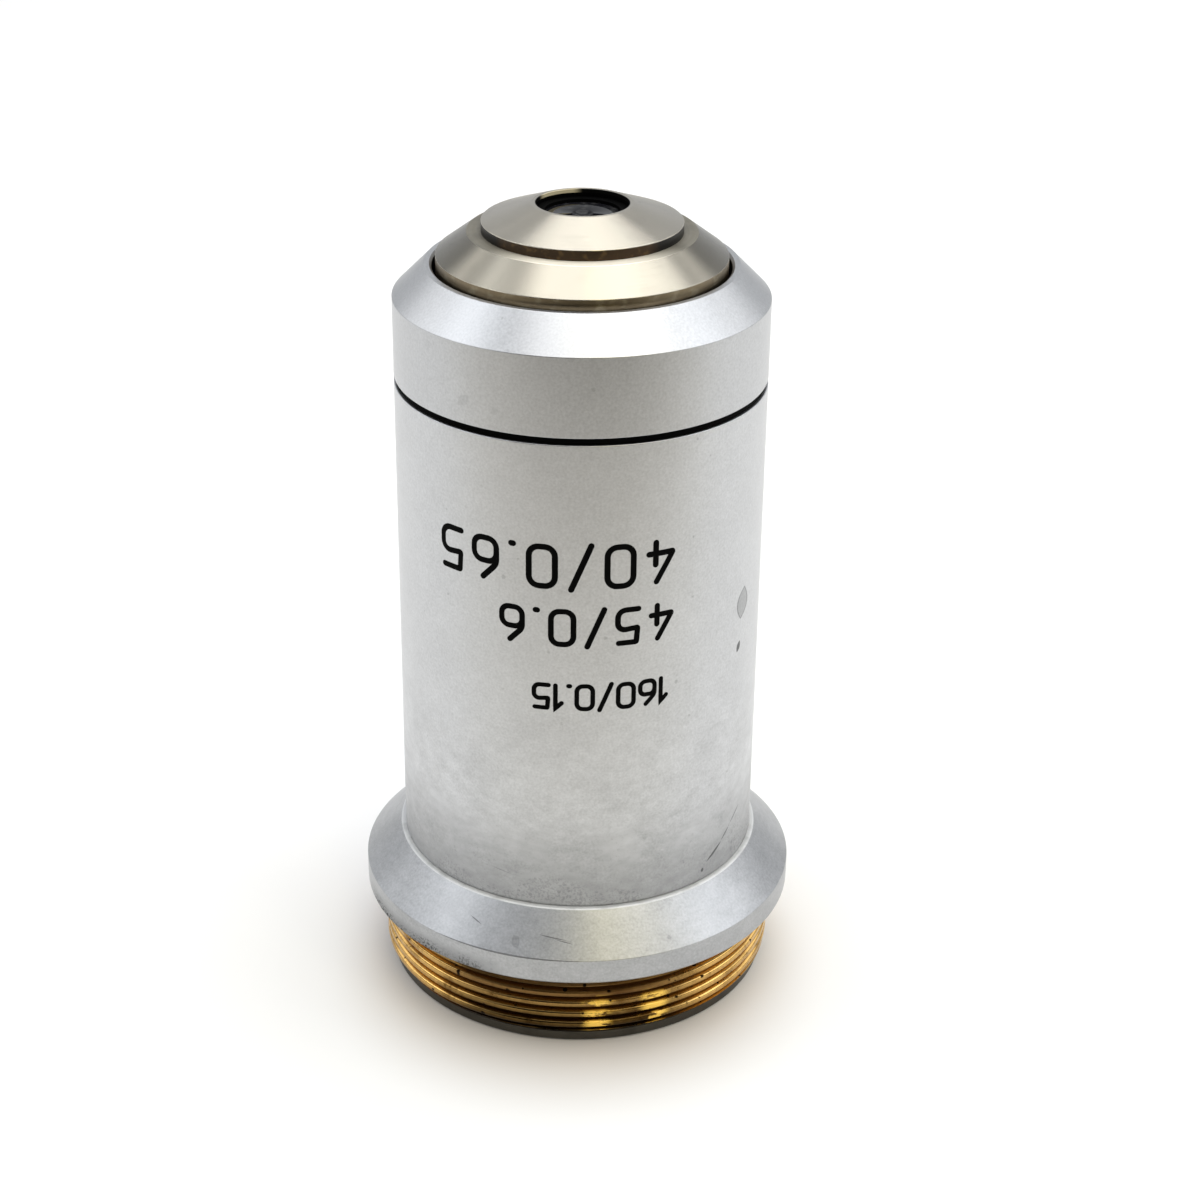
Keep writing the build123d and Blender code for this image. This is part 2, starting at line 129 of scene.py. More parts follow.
class Graph:
    """Builds a node tree from sockets and plain numbers."""

    def __init__(self, tree: bpy.types.NodeTree) -> None:
        """Keep the tree that nodes go into."""
        self.tree = tree

    def add(self, kind: str, feeds: dict[str | int, Value] | None = None, **settings: object) -> bpy.types.Node:
        """Add one node.

        Args:
            kind: Blender's name of the node type.
            feeds: Sockets or plain values for its inputs, by name or number.
            settings: Properties of the node.

        Returns:
            The new node.
        """
        node = self.tree.nodes.new(kind)
        for name, value in settings.items():
            setattr(node, name, value)
        for key, value in (feeds or {}).items():
            self.feed(node.inputs[key], value)
        return node

    def feed(self, socket: Socket, value: Value) -> None:
        """Link a socket to another one, or set its plain value.

        Args:
            socket: Input of a node.
            value: Socket or plain value.
        """
        if isinstance(value, Socket):
            self.tree.links.new(value, socket)
        else:
            socket.default_value = value

    def math(self, operation: str, *values: Value, clamp: bool = False) -> Socket:
        """Result of a Math node's operation, perhaps kept from 0 to 1."""
        return self.add("ShaderNodeMath", dict(enumerate(values)), operation=operation, use_clamp=clamp).outputs[0]

    def times(self, first: Value, second: Value) -> Socket:
        """Product of two values."""
        return self.math("MULTIPLY", first, second)

    def plus(self, first: Value, second: Value) -> Socket:
        """Sum of two values."""
        return self.math("ADD", first, second)

    def minus(self, first: Value, second: Value) -> Socket:
        """First value less the second."""
        return self.math("SUBTRACT", first, second)

    def most(self, first: Value, second: Value) -> Socket:
        """Greater of two values."""
        return self.math("MAXIMUM", first, second)

    def vector(self, *parts: Value) -> Socket:
        """Vector of three parts."""
        return self.add("ShaderNodeCombineXYZ", dict(enumerate(parts))).outputs[0]

    def vector_math(self, operation: str, *vectors: Value, **numbers: float) -> bpy.types.Node:
        """Vector Math node with its vectors in order, and numbers by the names of their inputs."""
        return self.add("ShaderNodeVectorMath", {**dict(enumerate(vectors)), **numbers}, operation=operation)

    def remap(self, value: Value, low: Value, high: Value, to_low: float = 0.0, to_high: float = 1.0) -> Socket:
        """Smooth step of a value, which makes low into to_low and high into to_high."""
        feeds = {"Value": value, "From Min": low, "From Max": high, "To Min": to_low, "To Max": to_high}
        return self.add("ShaderNodeMapRange", feeds, interpolation_type="SMOOTHSTEP").outputs["Result"]

    def blend(self, share: Value, first: Value, second: Value) -> Socket:
        """Mix of two colours, with a share of the second; a Mix node has them at inputs 6 and 7."""
        return self.add("ShaderNodeMix", {0: share, 6: first, 7: second}, data_type="RGBA").outputs[2]

    def noise(self, vector: Socket, scale: Value, detail: float, output: str = "Fac") -> Socket:
        """Noise over a place in millimetres, with so many waves a millimetre and finer layers."""
        feeds = {"Vector": vector, "Scale": scale, "Detail": detail}
        return self.add("ShaderNodeTexNoise", feeds).outputs[output]

    def millimetres(self) -> Socket:
        """Place on the object in millimetres."""
        place = self.add("ShaderNodeTexCoord").outputs["Object"]
        return self.vector_math("SCALE", place, Scale=1 / MM).outputs["Vector"]

    def round_the_axis(self) -> tuple[Socket, Socket, Socket]:
        """Place on the object, round its axis.

        Returns:
            Angle from the front in degrees, distance from the axis and height, in millimetres.
        """
        x, y, z = self.add("ShaderNodeSeparateXYZ", {0: self.millimetres()}).outputs
        radians = self.math("ARCTAN2", x, self.times(y, -1.0))
        distance = self.math("SQRT", self.plus(self.times(x, x), self.times(y, y)))
        return self.math("DEGREES", radians), distance, z

    def effect(self, tree: bpy.types.NodeTree, **values: Value) -> bpy.types.Node:
        """Node of a group, with values for its inputs by name, with _ for a space."""
        feeds = {name.replace("_", " "): value for name, value in values.items()}
        return self.add("ShaderNodeGroup", feeds, node_tree=tree)


def new_effect(name: str, inputs: dict[str, float], outputs: tuple[str, ...]) -> tuple[Graph, dict, dict]:
    """Make an empty shader node group with named sockets.

    Args:
        name: Name of the group.
        inputs: Names of its inputs with their usual values.
        outputs: Names of its outputs.

    Returns:
        The group's graph, its input sockets and its output sockets by name.
    """
    tree = bpy.data.node_groups.new(name, "ShaderNodeTree")
    for label, value in inputs.items():
        socket = tree.interface.new_socket(label, in_out="INPUT", socket_type="NodeSocketFloat")
        socket.default_value = value
    for label in outputs:
        tree.interface.new_socket(label, in_out="OUTPUT", socket_type="NodeSocketFloat")
    graph = Graph(tree)
    start = graph.add("NodeGroupInput")
    end = graph.add("NodeGroupOutput")
    return graph, {label: start.outputs[label] for label in inputs}, {label: end.inputs[label] for label in outputs}


class Effects:
    """Shared effects of the finishes, each a node group that is built once."""

    STREAK_STRETCH = 0.1  # noise units a degree
    LINE_STRETCH = 0.002
    RAGGED_SCALE, RAGGED = 9.0, 0.16  # waves a millimetre and reach of the wobble at a speck's edge
    SPECK_LEAST, SPECK_CORE = 0.25, 0.55  # share added to each speck's random size, and its fully dark share
    LEAF, RIM_RISES, RIM_FALLS = (0.8, 1.05), (0.85, 1.0), (1.0, 1.25)  # 1 is the edge of a mark

    def __init__(self) -> None:
        """Build the groups."""
        self.grain = self.plated_grain()
        self.specks = self.dark_specks()
        self.mark = self.surface_mark()
        self.lines = self.turning_lines()
        self.sector = self.angle_sector()

    def plated_grain(self) -> bpy.types.NodeTree:
        """Fine grain of a matt plating, with wide clouds and streaks round the axis.

        Returns:
            The node group.
        """
        given_values = {"Grain Scale": 7.0, "Cloud Scale": 0.35, "Streak Scale": 2.2}
        graph, given, out = new_effect("plated_grain", given_values, ("Grain", "Cloud", "Streak"))
        place = graph.millimetres()
        angle, distance, height = graph.round_the_axis()
        stretched = graph.vector(graph.times(angle, self.STREAK_STRETCH), distance, height)
        graph.feed(out["Streak"], graph.noise(stretched, given["Streak Scale"], detail=6.0))
        graph.feed(out["Grain"], graph.noise(place, given["Grain Scale"], detail=4.0))
        graph.feed(out["Cloud"], graph.noise(place, given["Cloud Scale"], detail=5.0))
        return graph.tree

    def dark_specks(self) -> bpy.types.NodeTree:
        """Small irregular spots, a share of the cells of a random pattern.

        Returns:
            The node group.
        """
        graph, given, out = new_effect("dark_specks", {"Scale": 1.2, "Share": 0.1, "Size": 0.2}, ("Mask",))
        place = graph.millimetres()
        wobble = graph.noise(place, self.RAGGED_SCALE, detail=2.0, output="Color")
        wobble = graph.vector_math("SCALE", wobble, Scale=self.RAGGED).outputs["Vector"]
        ragged = graph.vector_math("ADD", place, wobble).outputs["Vector"]
        cells = graph.add("ShaderNodeTexVoronoi", {"Vector": ragged, "Scale": given["Scale"]}, feature="F1")
        pick = graph.add("ShaderNodeSeparateColor", {0: cells.outputs["Color"]})
        chosen = graph.math("LESS_THAN", pick.outputs["Red"], given["Share"])
        reach = graph.times(given["Size"], graph.plus(pick.outputs["Green"], self.SPECK_LEAST))
        spot = graph.remap(cells.outputs["Distance"], graph.times(reach, self.SPECK_CORE), reach, 1.0, 0.0)
        graph.feed(out["Mask"], graph.times(chosen, spot))
        return graph.tree

    def surface_mark(self) -> bpy.types.NodeTree:
        """One leaf-shaped mark on a turned surface, and the rim round it.

        Returns:
            The node group.
        """
        names = ("Angle", "Height", "Radius", "Half Width", "Half Length", "Slant")
        given_values = dict(zip(names, (0.0, 0.0, 11.0, 0.5, 1.0, 0.0)))
        graph, given, out = new_effect("surface_mark", given_values, ("Mask", "Rim"))
        angle, _, height = graph.round_the_axis()
        arc = graph.math("RADIANS", graph.minus(angle, given["Angle"]))
        across = graph.times(arc, given["Radius"])
        along = graph.minus(height, given["Height"])
        turn = graph.math("RADIANS", given["Slant"])
        sine, cosine = graph.math("SINE", turn), graph.math("COSINE", turn)
        wide = graph.plus(graph.times(across, cosine), graph.times(along, sine))
        long = graph.minus(graph.times(along, cosine), graph.times(across, sine))
        share = graph.math("DIVIDE", graph.math("ABSOLUTE", wide), given["Half Width"])
        reach = graph.math("POWER", graph.math("DIVIDE", long, given["Half Length"]), 2.0)
        leaf = graph.plus(share, reach)
        graph.feed(out["Mask"], graph.remap(leaf, *self.LEAF, 1.0, 0.0))
        rise = graph.remap(leaf, *self.RIM_RISES)
        fall = graph.remap(leaf, *self.RIM_FALLS, 1.0, 0.0)
        graph.feed(out["Rim"], graph.times(rise, fall))
        return graph.tree

    def turning_lines(self) -> bpy.types.NodeTree:
        """Fine lines that the lathe leaves round the axis.

        Returns:
            The node group.
        """
        graph, given, out = new_effect("turning_lines", {"Scale": 6.0}, ("Value",))
        angle, distance, height = graph.round_the_axis()
        place = graph.vector(distance, height, graph.times(angle, self.LINE_STRETCH))
        graph.feed(out["Value"], graph.noise(place, given["Scale"], detail=2.0))
        return graph.tree

    @staticmethod
    def angle_sector() -> bpy.types.NodeTree:
        """Sector of the turned surface between two angles, with soft edges.

        Returns:
            The node group.
        """
        graph, given, out = new_effect("angle_sector", {"From": -30.0, "To": 30.0, "Soft": 10.0}, ("Mask",))
        angle = graph.round_the_axis()[0]
        rise = graph.remap(angle, given["From"], graph.plus(given["From"], given["Soft"]))
        fall = graph.remap(angle, graph.minus(given["To"], given["Soft"]), given["To"], 1.0, 0.0)
        graph.feed(out["Mask"], graph.times(rise, fall))
        return graph.tree

    def within(self, graph: Graph, sector: Sector, soft: float) -> Socket:
        """Mask of the surface between two angles, with soft edges of so many degrees inside them."""
        first, last = sector
        return graph.effect(self.sector, From=first, To=last, Soft=soft).outputs["Mask"]


@dataclass(frozen=True)
class Mark:
    """A ding, nick, scratch or smudge on a turned surface."""

    angle: float
    height: float
    radius: float
    half_width: float
    half_length: float
    slant: float = 0.0
    depth: float = 0.5
    rim: float = 0.0

    def masks(self, graph: Graph, effects: Effects) -> tuple[Socket, Socket]:
        """Put the mark on a surface.

        Args:
            graph: The material's graph.
            effects: Shared node groups.

        Returns:
            Masks of the mark and of the rim round it.
        """
        names = ("angle", "height", "radius", "half_width", "half_length", "slant")
        node = graph.effect(effects.mark, **{name.title(): getattr(self, name) for name in names})
        return node.outputs["Mask"], node.outputs["Rim"]


class Surface:
    """A new material with its Principled shader."""

    def __init__(self, name: str) -> None:
        """Make the material with an empty graph.

        Args:
            name: Name of the material.
        """
        self.material = bpy.data.materials.new(name)
        self.material.use_nodes = True
        self.graph = Graph(self.material.node_tree)
        self.shader = self.material.node_tree.nodes["Principled BSDF"]

    def set(self, **values: Value) -> None:
        """Set or link sockets of the shader, named with _ for a space."""
        for name, value in values.items():
            self.graph.feed(self.shader.inputs[name.replace("_", " ")], value)

    def bump(self, height: Socket, depth: float, strength: float) -> None:
        """Raise the normal by a share of a height from 0 to 1, where 1 is so many millimetres."""
        feeds = {"Strength": strength, "Distance": depth * MM, "Height": height}
        self.set(Normal=self.graph.add("ShaderNodeBump", feeds).outputs["Normal"])


@dataclass(frozen=True)
class Finish:
    """A finish, which makes one material."""

    name: str
    colour: Colour

    def build(self, effects: Effects) -> bpy.types.Material:
        """Make the material.

        Args:
            effects: Shared node groups.

        Returns:
            The material.
        """
        surface = Surface(self.name)
        self.dress(surface, effects)
        return surface.material

    def dress(self, surface: Surface, effects: Effects) -> None:
        """Lay the finish on a new surface, which each kind of finish does in its own way."""
        raise NotImplementedError


@dataclass(frozen=True)
class SatinChrome(Finish):
    """Matt pearl chrome with a fine grain, grime towards one end and a few marks."""

    roughness: float = 0.36
    speck_share: float = 0.05
    grime_low: float = -2.0
    grime_high: float = -1.0
    grime: float = 0.0
    film: float = 0.0
    grain: float = 0.5
    mottle: float = 0.3
    marks: tuple[Mark, ...] = ()
    grime_sector: Sector | None = None

    HEADROOM = 1.3  # room for grain that is brighter than the colour, as a mix ends at its second colour
    SPECK_LOSS, NOISE_MEAN, GRAIN_RANGE = 0.22, 0.5, (0.3, 0.7)
    LOSS_ROUGHNESS, GRAIN_ROUGHNESS = 0.2, 0.03
    RELIEF, RELIEF_SHARE = 0.006, 0.35
    MOTTLE_LOW, MOTTLE_HIGH, MOTTLE_KEPT = 12.0, 26.0, 0.25
    PATCHES, FINE = (0.38, 0.62), (0.42, 0.66)
    SECTOR_SOFT = 14.0

    def dress(self, surface: Surface, effects: Effects) -> None:
        """Lay the finish on a new surface.

        Args:
            surface: The surface.
            effects: Shared node groups.
        """
        graph = surface.graph
        grain = graph.effect(effects.grain)
        specks = graph.effect(effects.specks, Share=self.speck_share).outputs["Mask"]
        shade = self.mottling(graph, grain)
        loss = graph.most(self.dirt(graph, effects, grain), graph.times(specks, self.SPECK_LOSS))
        height = grain.outputs["Grain"]
        for mark in self.marks:
            mask, rim = mark.masks(graph, effects)
            loss = graph.most(loss, graph.times(mask, mark.depth))
            # a mark's rim adds light or shade round it; on the ding it is painted shade
            shade = graph.plus(shade, graph.times(rim, mark.rim))
            height = graph.minus(height, mask)
        shade = graph.times(shade, graph.minus(1.0, loss))
        share = graph.math("DIVIDE", shade, self.HEADROOM)
        surface.set(Base_Color=graph.blend(share, NO_LIGHT, brighter(self.colour, self.HEADROOM)), Metallic=1.0)
        rough = graph.plus(self.roughness, graph.times(loss, self.LOSS_ROUGHNESS))
        uneven = graph.remap(grain.outputs["Grain"], *self.GRAIN_RANGE, -self.GRAIN_ROUGHNESS, self.GRAIN_ROUGHNESS)
        surface.set(Roughness=graph.plus(rough, uneven))
        surface.bump(height, self.RELIEF, self.RELIEF_SHARE)

    def mottling(self, graph: Graph, grain: bpy.types.Node) -> Socket:
        """Shade of the plating: even grain all over, clouds and streaks that fade upwards.

        Args:
            graph: The material's graph.
            grain: The placed grain group.

        Returns:
            Socket of the shade, about 1.
        """
        height = graph.round_the_axis()[2]
        kept = self.MOTTLE_KEPT * self.mottle
        share = graph.remap(height, self.MOTTLE_LOW, self.MOTTLE_HIGH, self.mottle, kept)
        names = ("Grain", "Cloud", "Streak")
        fine, cloud, streak = (graph.minus(grain.outputs[name], self.NOISE_MEAN) for name in names)
        blots = graph.times(graph.plus(streak, cloud), share)
        return graph.plus(1.0, graph.plus(graph.times(fine, self.grain), blots))

    def dirt(self, graph: Graph, effects: Effects, grain: bpy.types.Node) -> Socket:
        """Share of grime, more towards one end, patchy and dotted.

        Args:
            graph: The material's graph.
            effects: Shared node groups.
            grain: The placed grain group.

        Returns:
            Socket of the share.
        """
        height = graph.round_the_axis()[2]
        band = graph.remap(height, self.grime_low, self.grime_high, 1.0, 0.0)
        patch = graph.remap(grain.outputs["Cloud"], *self.PATCHES)
        dots = graph.effect(effects.specks, Scale=3.2, Share=0.55, Size=0.42).outputs["Mask"]
        spots = graph.times(patch, graph.most(graph.remap(grain.outputs["Grain"], *self.FINE), dots))
        dirt = graph.times(band, graph.plus(self.film, graph.times(spots, 1 - self.film)))
        if self.grime_sector:
            dirt = graph.times(dirt, effects.within(graph, self.grime_sector, self.SECTOR_SOFT))
        return graph.times(dirt, self.grime)


@dataclass(frozen=True)
class PolishedNickel(Finish):
    """Warm turned and polished nickel silver, perhaps tarnished at the sides and behind."""

    tarnish: float = 0.0

    ROUGHNESS, ANISOTROPY, ALONG_TANGENT = 0.27, 0.94, 0.25
    LINES, CLOUDS = (0.3, 0.7, 0.985, 1.012), (0.3, 0.7, 0.95, 1.04)
    SPECK_LOSS = 0.35
    CLEAN, CLEAN_SOFT = (-72.0, 72.0), 28.0

    def dress(self, surface: Surface, effects: Effects) -> None:
        """Lay the finish on a new surface.

        Args:
            surface: The surface.
            effects: Shared node groups.
        """
        graph = surface.graph
        lines = graph.effect(effects.lines, Scale=9.0).outputs["Value"]
        grain = graph.effect(effects.grain, Grain_Scale=3.0, Cloud_Scale=0.5)
        specks = graph.effect(effects.specks, Share=0.03, Size=0.16).outputs["Mask"]
        shade = graph.times(graph.remap(lines, *self.LINES), graph.remap(grain.outputs["Cloud"], *self.CLOUDS))
        shade = graph.minus(shade, graph.times(specks, self.SPECK_LOSS))
        if self.tarnish:
            clean = effects.within(graph, self.CLEAN, self.CLEAN_SOFT)
            shade = graph.times(shade, graph.remap(clean, 0.0, 1.0, 1 - self.tarnish, 1.0))
        surface.set(Base_Color=graph.blend(shade, NO_LIGHT, self.colour), Metallic=1.0, Roughness=self.ROUGHNESS)
        surface.set(Anisotropic=self.ANISOTROPY, Anisotropic_Rotation=self.ALONG_TANGENT)
        tangent = graph.add("ShaderNodeTangent", direction_type="RADIAL", axis="Z")
        surface.set(Tangent=tangent.outputs[0])


@dataclass(frozen=True)
class TarnishedBrass(Finish):
    """Uncoated brass of a thread, brown in its roots and in patches, with painted shade on the front and painted glints
    there: two bright sectors on its lower ridges that stand for reflected windows.
    """

    brown: Colour
    # black of the specks, and of the painted shade on the front
    black: Colour
    dull: Colour
    # colour of the painted glints
    rubbed_colour: Colour
    root_r: float
    crest_r: float
    # sectors of the painted glints, which stand for reflected windows
    rubbed: tuple[Sector, ...]

    # painted shade: the front, towards the camera, is blended towards black, most on the lower ridges; the upper rows
    # there are also made duller, browner and rougher
    FRONT, FRONT_SOFT = (-50.0, 44.0), 22.0
    HANDLED, DULLED = (0.9, 4.0, 0.9, 0.35), (2.5, 3.7, 0.0, 0.75)  # two heights, and the shares there
    # painted glints: where the two sectors, the lower ridges and ragged streaks meet, the brass turns pale yellow with
    # little metal
    RUBBED_HEIGHTS, RUBBED_STREAKS, RUBBED_SOFT = (3.2, 3.8, 1.0, 0.0), (0.4, 0.52), 4.0
    RUBBED_OVER_ROOT, RUBBED_METALLIC = 0.1, 0.25
    ROOT_TARNISH, PATCHES, FINE = 0.9, (0.48, 0.72, 0.0, 0.75), (0.45, 0.75, 0.0, 0.3)
    ROUGHNESS, TARNISH_ROUGHNESS, DULL_ROUGHER, SPECK_ROUGHER = 0.12, 0.3, 0.25, 0.3
    RELIEF, RELIEF_SHARE = 0.006, 0.3

    def bare(self, graph: Graph, effects: Effects, streak: Socket) -> Value:
        """Mask of the painted glints, two bright sectors that stand for reflected windows: ragged, and only on the
        lower ridges.

        Args:
            graph: The material's graph.
            effects: Shared node groups.
            streak: Streaks of the placed grain group.

        Returns:
            Socket of the mask.
        """
        _, distance, height = graph.round_the_axis()
        shares = (
            graph.remap(height, *self.RUBBED_HEIGHTS),
            graph.remap(distance, self.root_r + self.RUBBED_OVER_ROOT, self.crest_r),
            graph.remap(streak, *self.RUBBED_STREAKS),
        )
        bare = 0.0
        for sector in self.rubbed:
            clean = effects.within(graph, sector, self.RUBBED_SOFT)
            for share in shares:
                clean = graph.times(clean, share)
            bare = graph.most(bare, clean)
        return bare

    def dress(self, surface: Surface, effects: Effects) -> None:
        """Lay the finish on a new surface.

        Args:
            surface: The surface.
            effects: Shared node groups.
        """
        graph = surface.graph
        _, distance, height = graph.round_the_axis()
        grain = graph.effect(effects.grain, Grain_Scale=4.0, Cloud_Scale=0.45)
        specks = graph.effect(effects.specks, Scale=1.9, Share=0.42, Size=0.3).outputs["Mask"]
        front = effects.within(graph, self.FRONT, self.FRONT_SOFT)
        handled, dull = (graph.times(front, graph.remap(height, *share)) for share in (self.HANDLED, self.DULLED))
        bare = self.bare(graph, effects, grain.outputs["Streak"])
        root = graph.remap(distance, self.root_r, self.crest_r, self.ROOT_TARNISH, 0.0)
        patch = graph.remap(grain.outputs["Cloud"], *self.PATCHES)
        fine = graph.remap(grain.outputs["Grain"], *self.FINE)
        tarnish = graph.most(root, graph.math("ADD", patch, fine, clamp=True))
        # painted shade: the front is blended towards black
        metal = graph.blend(handled, graph.blend(tarnish, self.colour, self.brown), self.black)
        # the upper rows in front turn duller and browner, the painted glints pale yellow, and the specks black
        for share, colour in ((dull, self.dull), (bare, self.rubbed_colour), (specks, self.black)):
            metal = graph.blend(share, metal, colour)
        surface.set(Base_Color=metal, Metallic=graph.remap(bare, 0.0, 1.0, 1.0, self.RUBBED_METALLIC))
        rough = graph.remap(tarnish, 0.0, 1.0, self.ROUGHNESS, self.TARNISH_ROUGHNESS)
        rough = graph.plus(rough, graph.times(dull, self.DULL_ROUGHER))
        surface.set(Roughness=graph.plus(rough, graph.times(specks, self.SPECK_ROUGHER)))
        surface.bump(grain.outputs["Grain"], self.RELIEF, self.RELIEF_SHARE)


@dataclass(frozen=True)
class DarkMetal(Finish):
    """Plain metal, from dull black to pale steel, with faint turning lines, and perhaps with one of these: wear in
    streaks, wear in a sector, a painted highlight in a sector, painted shade outside a sector.
    """

    metallic: float = 1.0
    roughness: float = 0.4
    specular: float = 0.5
    worn: Colour | None = None
    worn_sector: Sector | None = None
    worn_soft: float = 14.0
    clean_sector: Sector | None = None

    # colour of the painted shade outside a sector, and the soft edge of that sector
    GRIME, CLEAN_SOFT = srgb(14, 11, 7), 10.0
    CLOUDS, STREAKS, LINES = (0.3, 0.7, 0.8, 1.2), (0.5, 0.68), (0.25, 0.75)
    UNEVEN = 0.06
    RELIEF, RELIEF_SHARE = 0.004, 0.25

    def dress(self, surface: Surface, effects: Effects) -> None:
        """Lay the finish on a new surface.

        Args:
            surface: The surface.
            effects: Shared node groups.
        """
        graph = surface.graph
        lines = graph.effect(effects.lines, Scale=5.0).outputs["Value"]
        grain = graph.effect(effects.grain, Grain_Scale=6.0, Cloud_Scale=0.8)
        shade = graph.remap(grain.outputs["Cloud"], *self.CLOUDS)
        colour = graph.blend(shade, NO_LIGHT, self.colour)
        # a paler colour in streaks or in a sector: wear on the bronze, the dull nickel and the aperture, a painted
        # highlight on the ledge
        if self.worn:
            if self.worn_sector:
                share = effects.within(graph, self.worn_sector, self.worn_soft)
            else:
                share = graph.remap(grain.outputs["Streak"], *self.STREAKS)
            colour = graph.blend(share, colour, self.worn)
        # painted shade: outside the sector the colour goes dark
        if self.clean_sector:
            colour = graph.blend(effects.within(graph, self.clean_sector, self.CLEAN_SOFT), self.GRIME, colour)
        surface.set(Base_Color=colour, Metallic=self.metallic, Specular_IOR_Level=self.specular)
        least, most = self.roughness - self.UNEVEN, self.roughness + self.UNEVEN
        surface.set(Roughness=graph.remap(lines, *self.LINES, least, most))
        surface.bump(grain.outputs["Grain"], self.RELIEF, self.RELIEF_SHARE)


@dataclass(frozen=True)
class LensGlass(Finish):
    """Coated optical glass, with a faint haze of dust on it."""

    ior: float = 1.6
    coating: float = 0.2
    clearness: float = 1.0

    DUST, DUST_RANGE = (0.05, 0.05, 0.05, 1.0), (0.5, 0.8)
    ROUGHNESS, DUST_ROUGHER = 0.02, 0.08

    def dress(self, surface: Surface, effects: Effects) -> None:
        """Lay the finish on a new surface.

        Args:
            surface: The surface.
            effects: Shared node groups.
        """
        graph = surface.graph
        grain = graph.effect(effects.grain, Grain_Scale=2.0, Cloud_Scale=0.6).outputs["Grain"]
        dust = graph.remap(grain, *self.DUST_RANGE)
        surface.set(Base_Color=graph.blend(dust, self.colour, self.DUST), Metallic=0.0, IOR=self.ior)
        surface.set(Transmission_Weight=self.clearness, Specular_IOR_Level=self.coating)
        surface.set(Roughness=graph.remap(dust, 0.0, 1.0, self.ROUGHNESS, self.ROUGHNESS + self.DUST_ROUGHER))


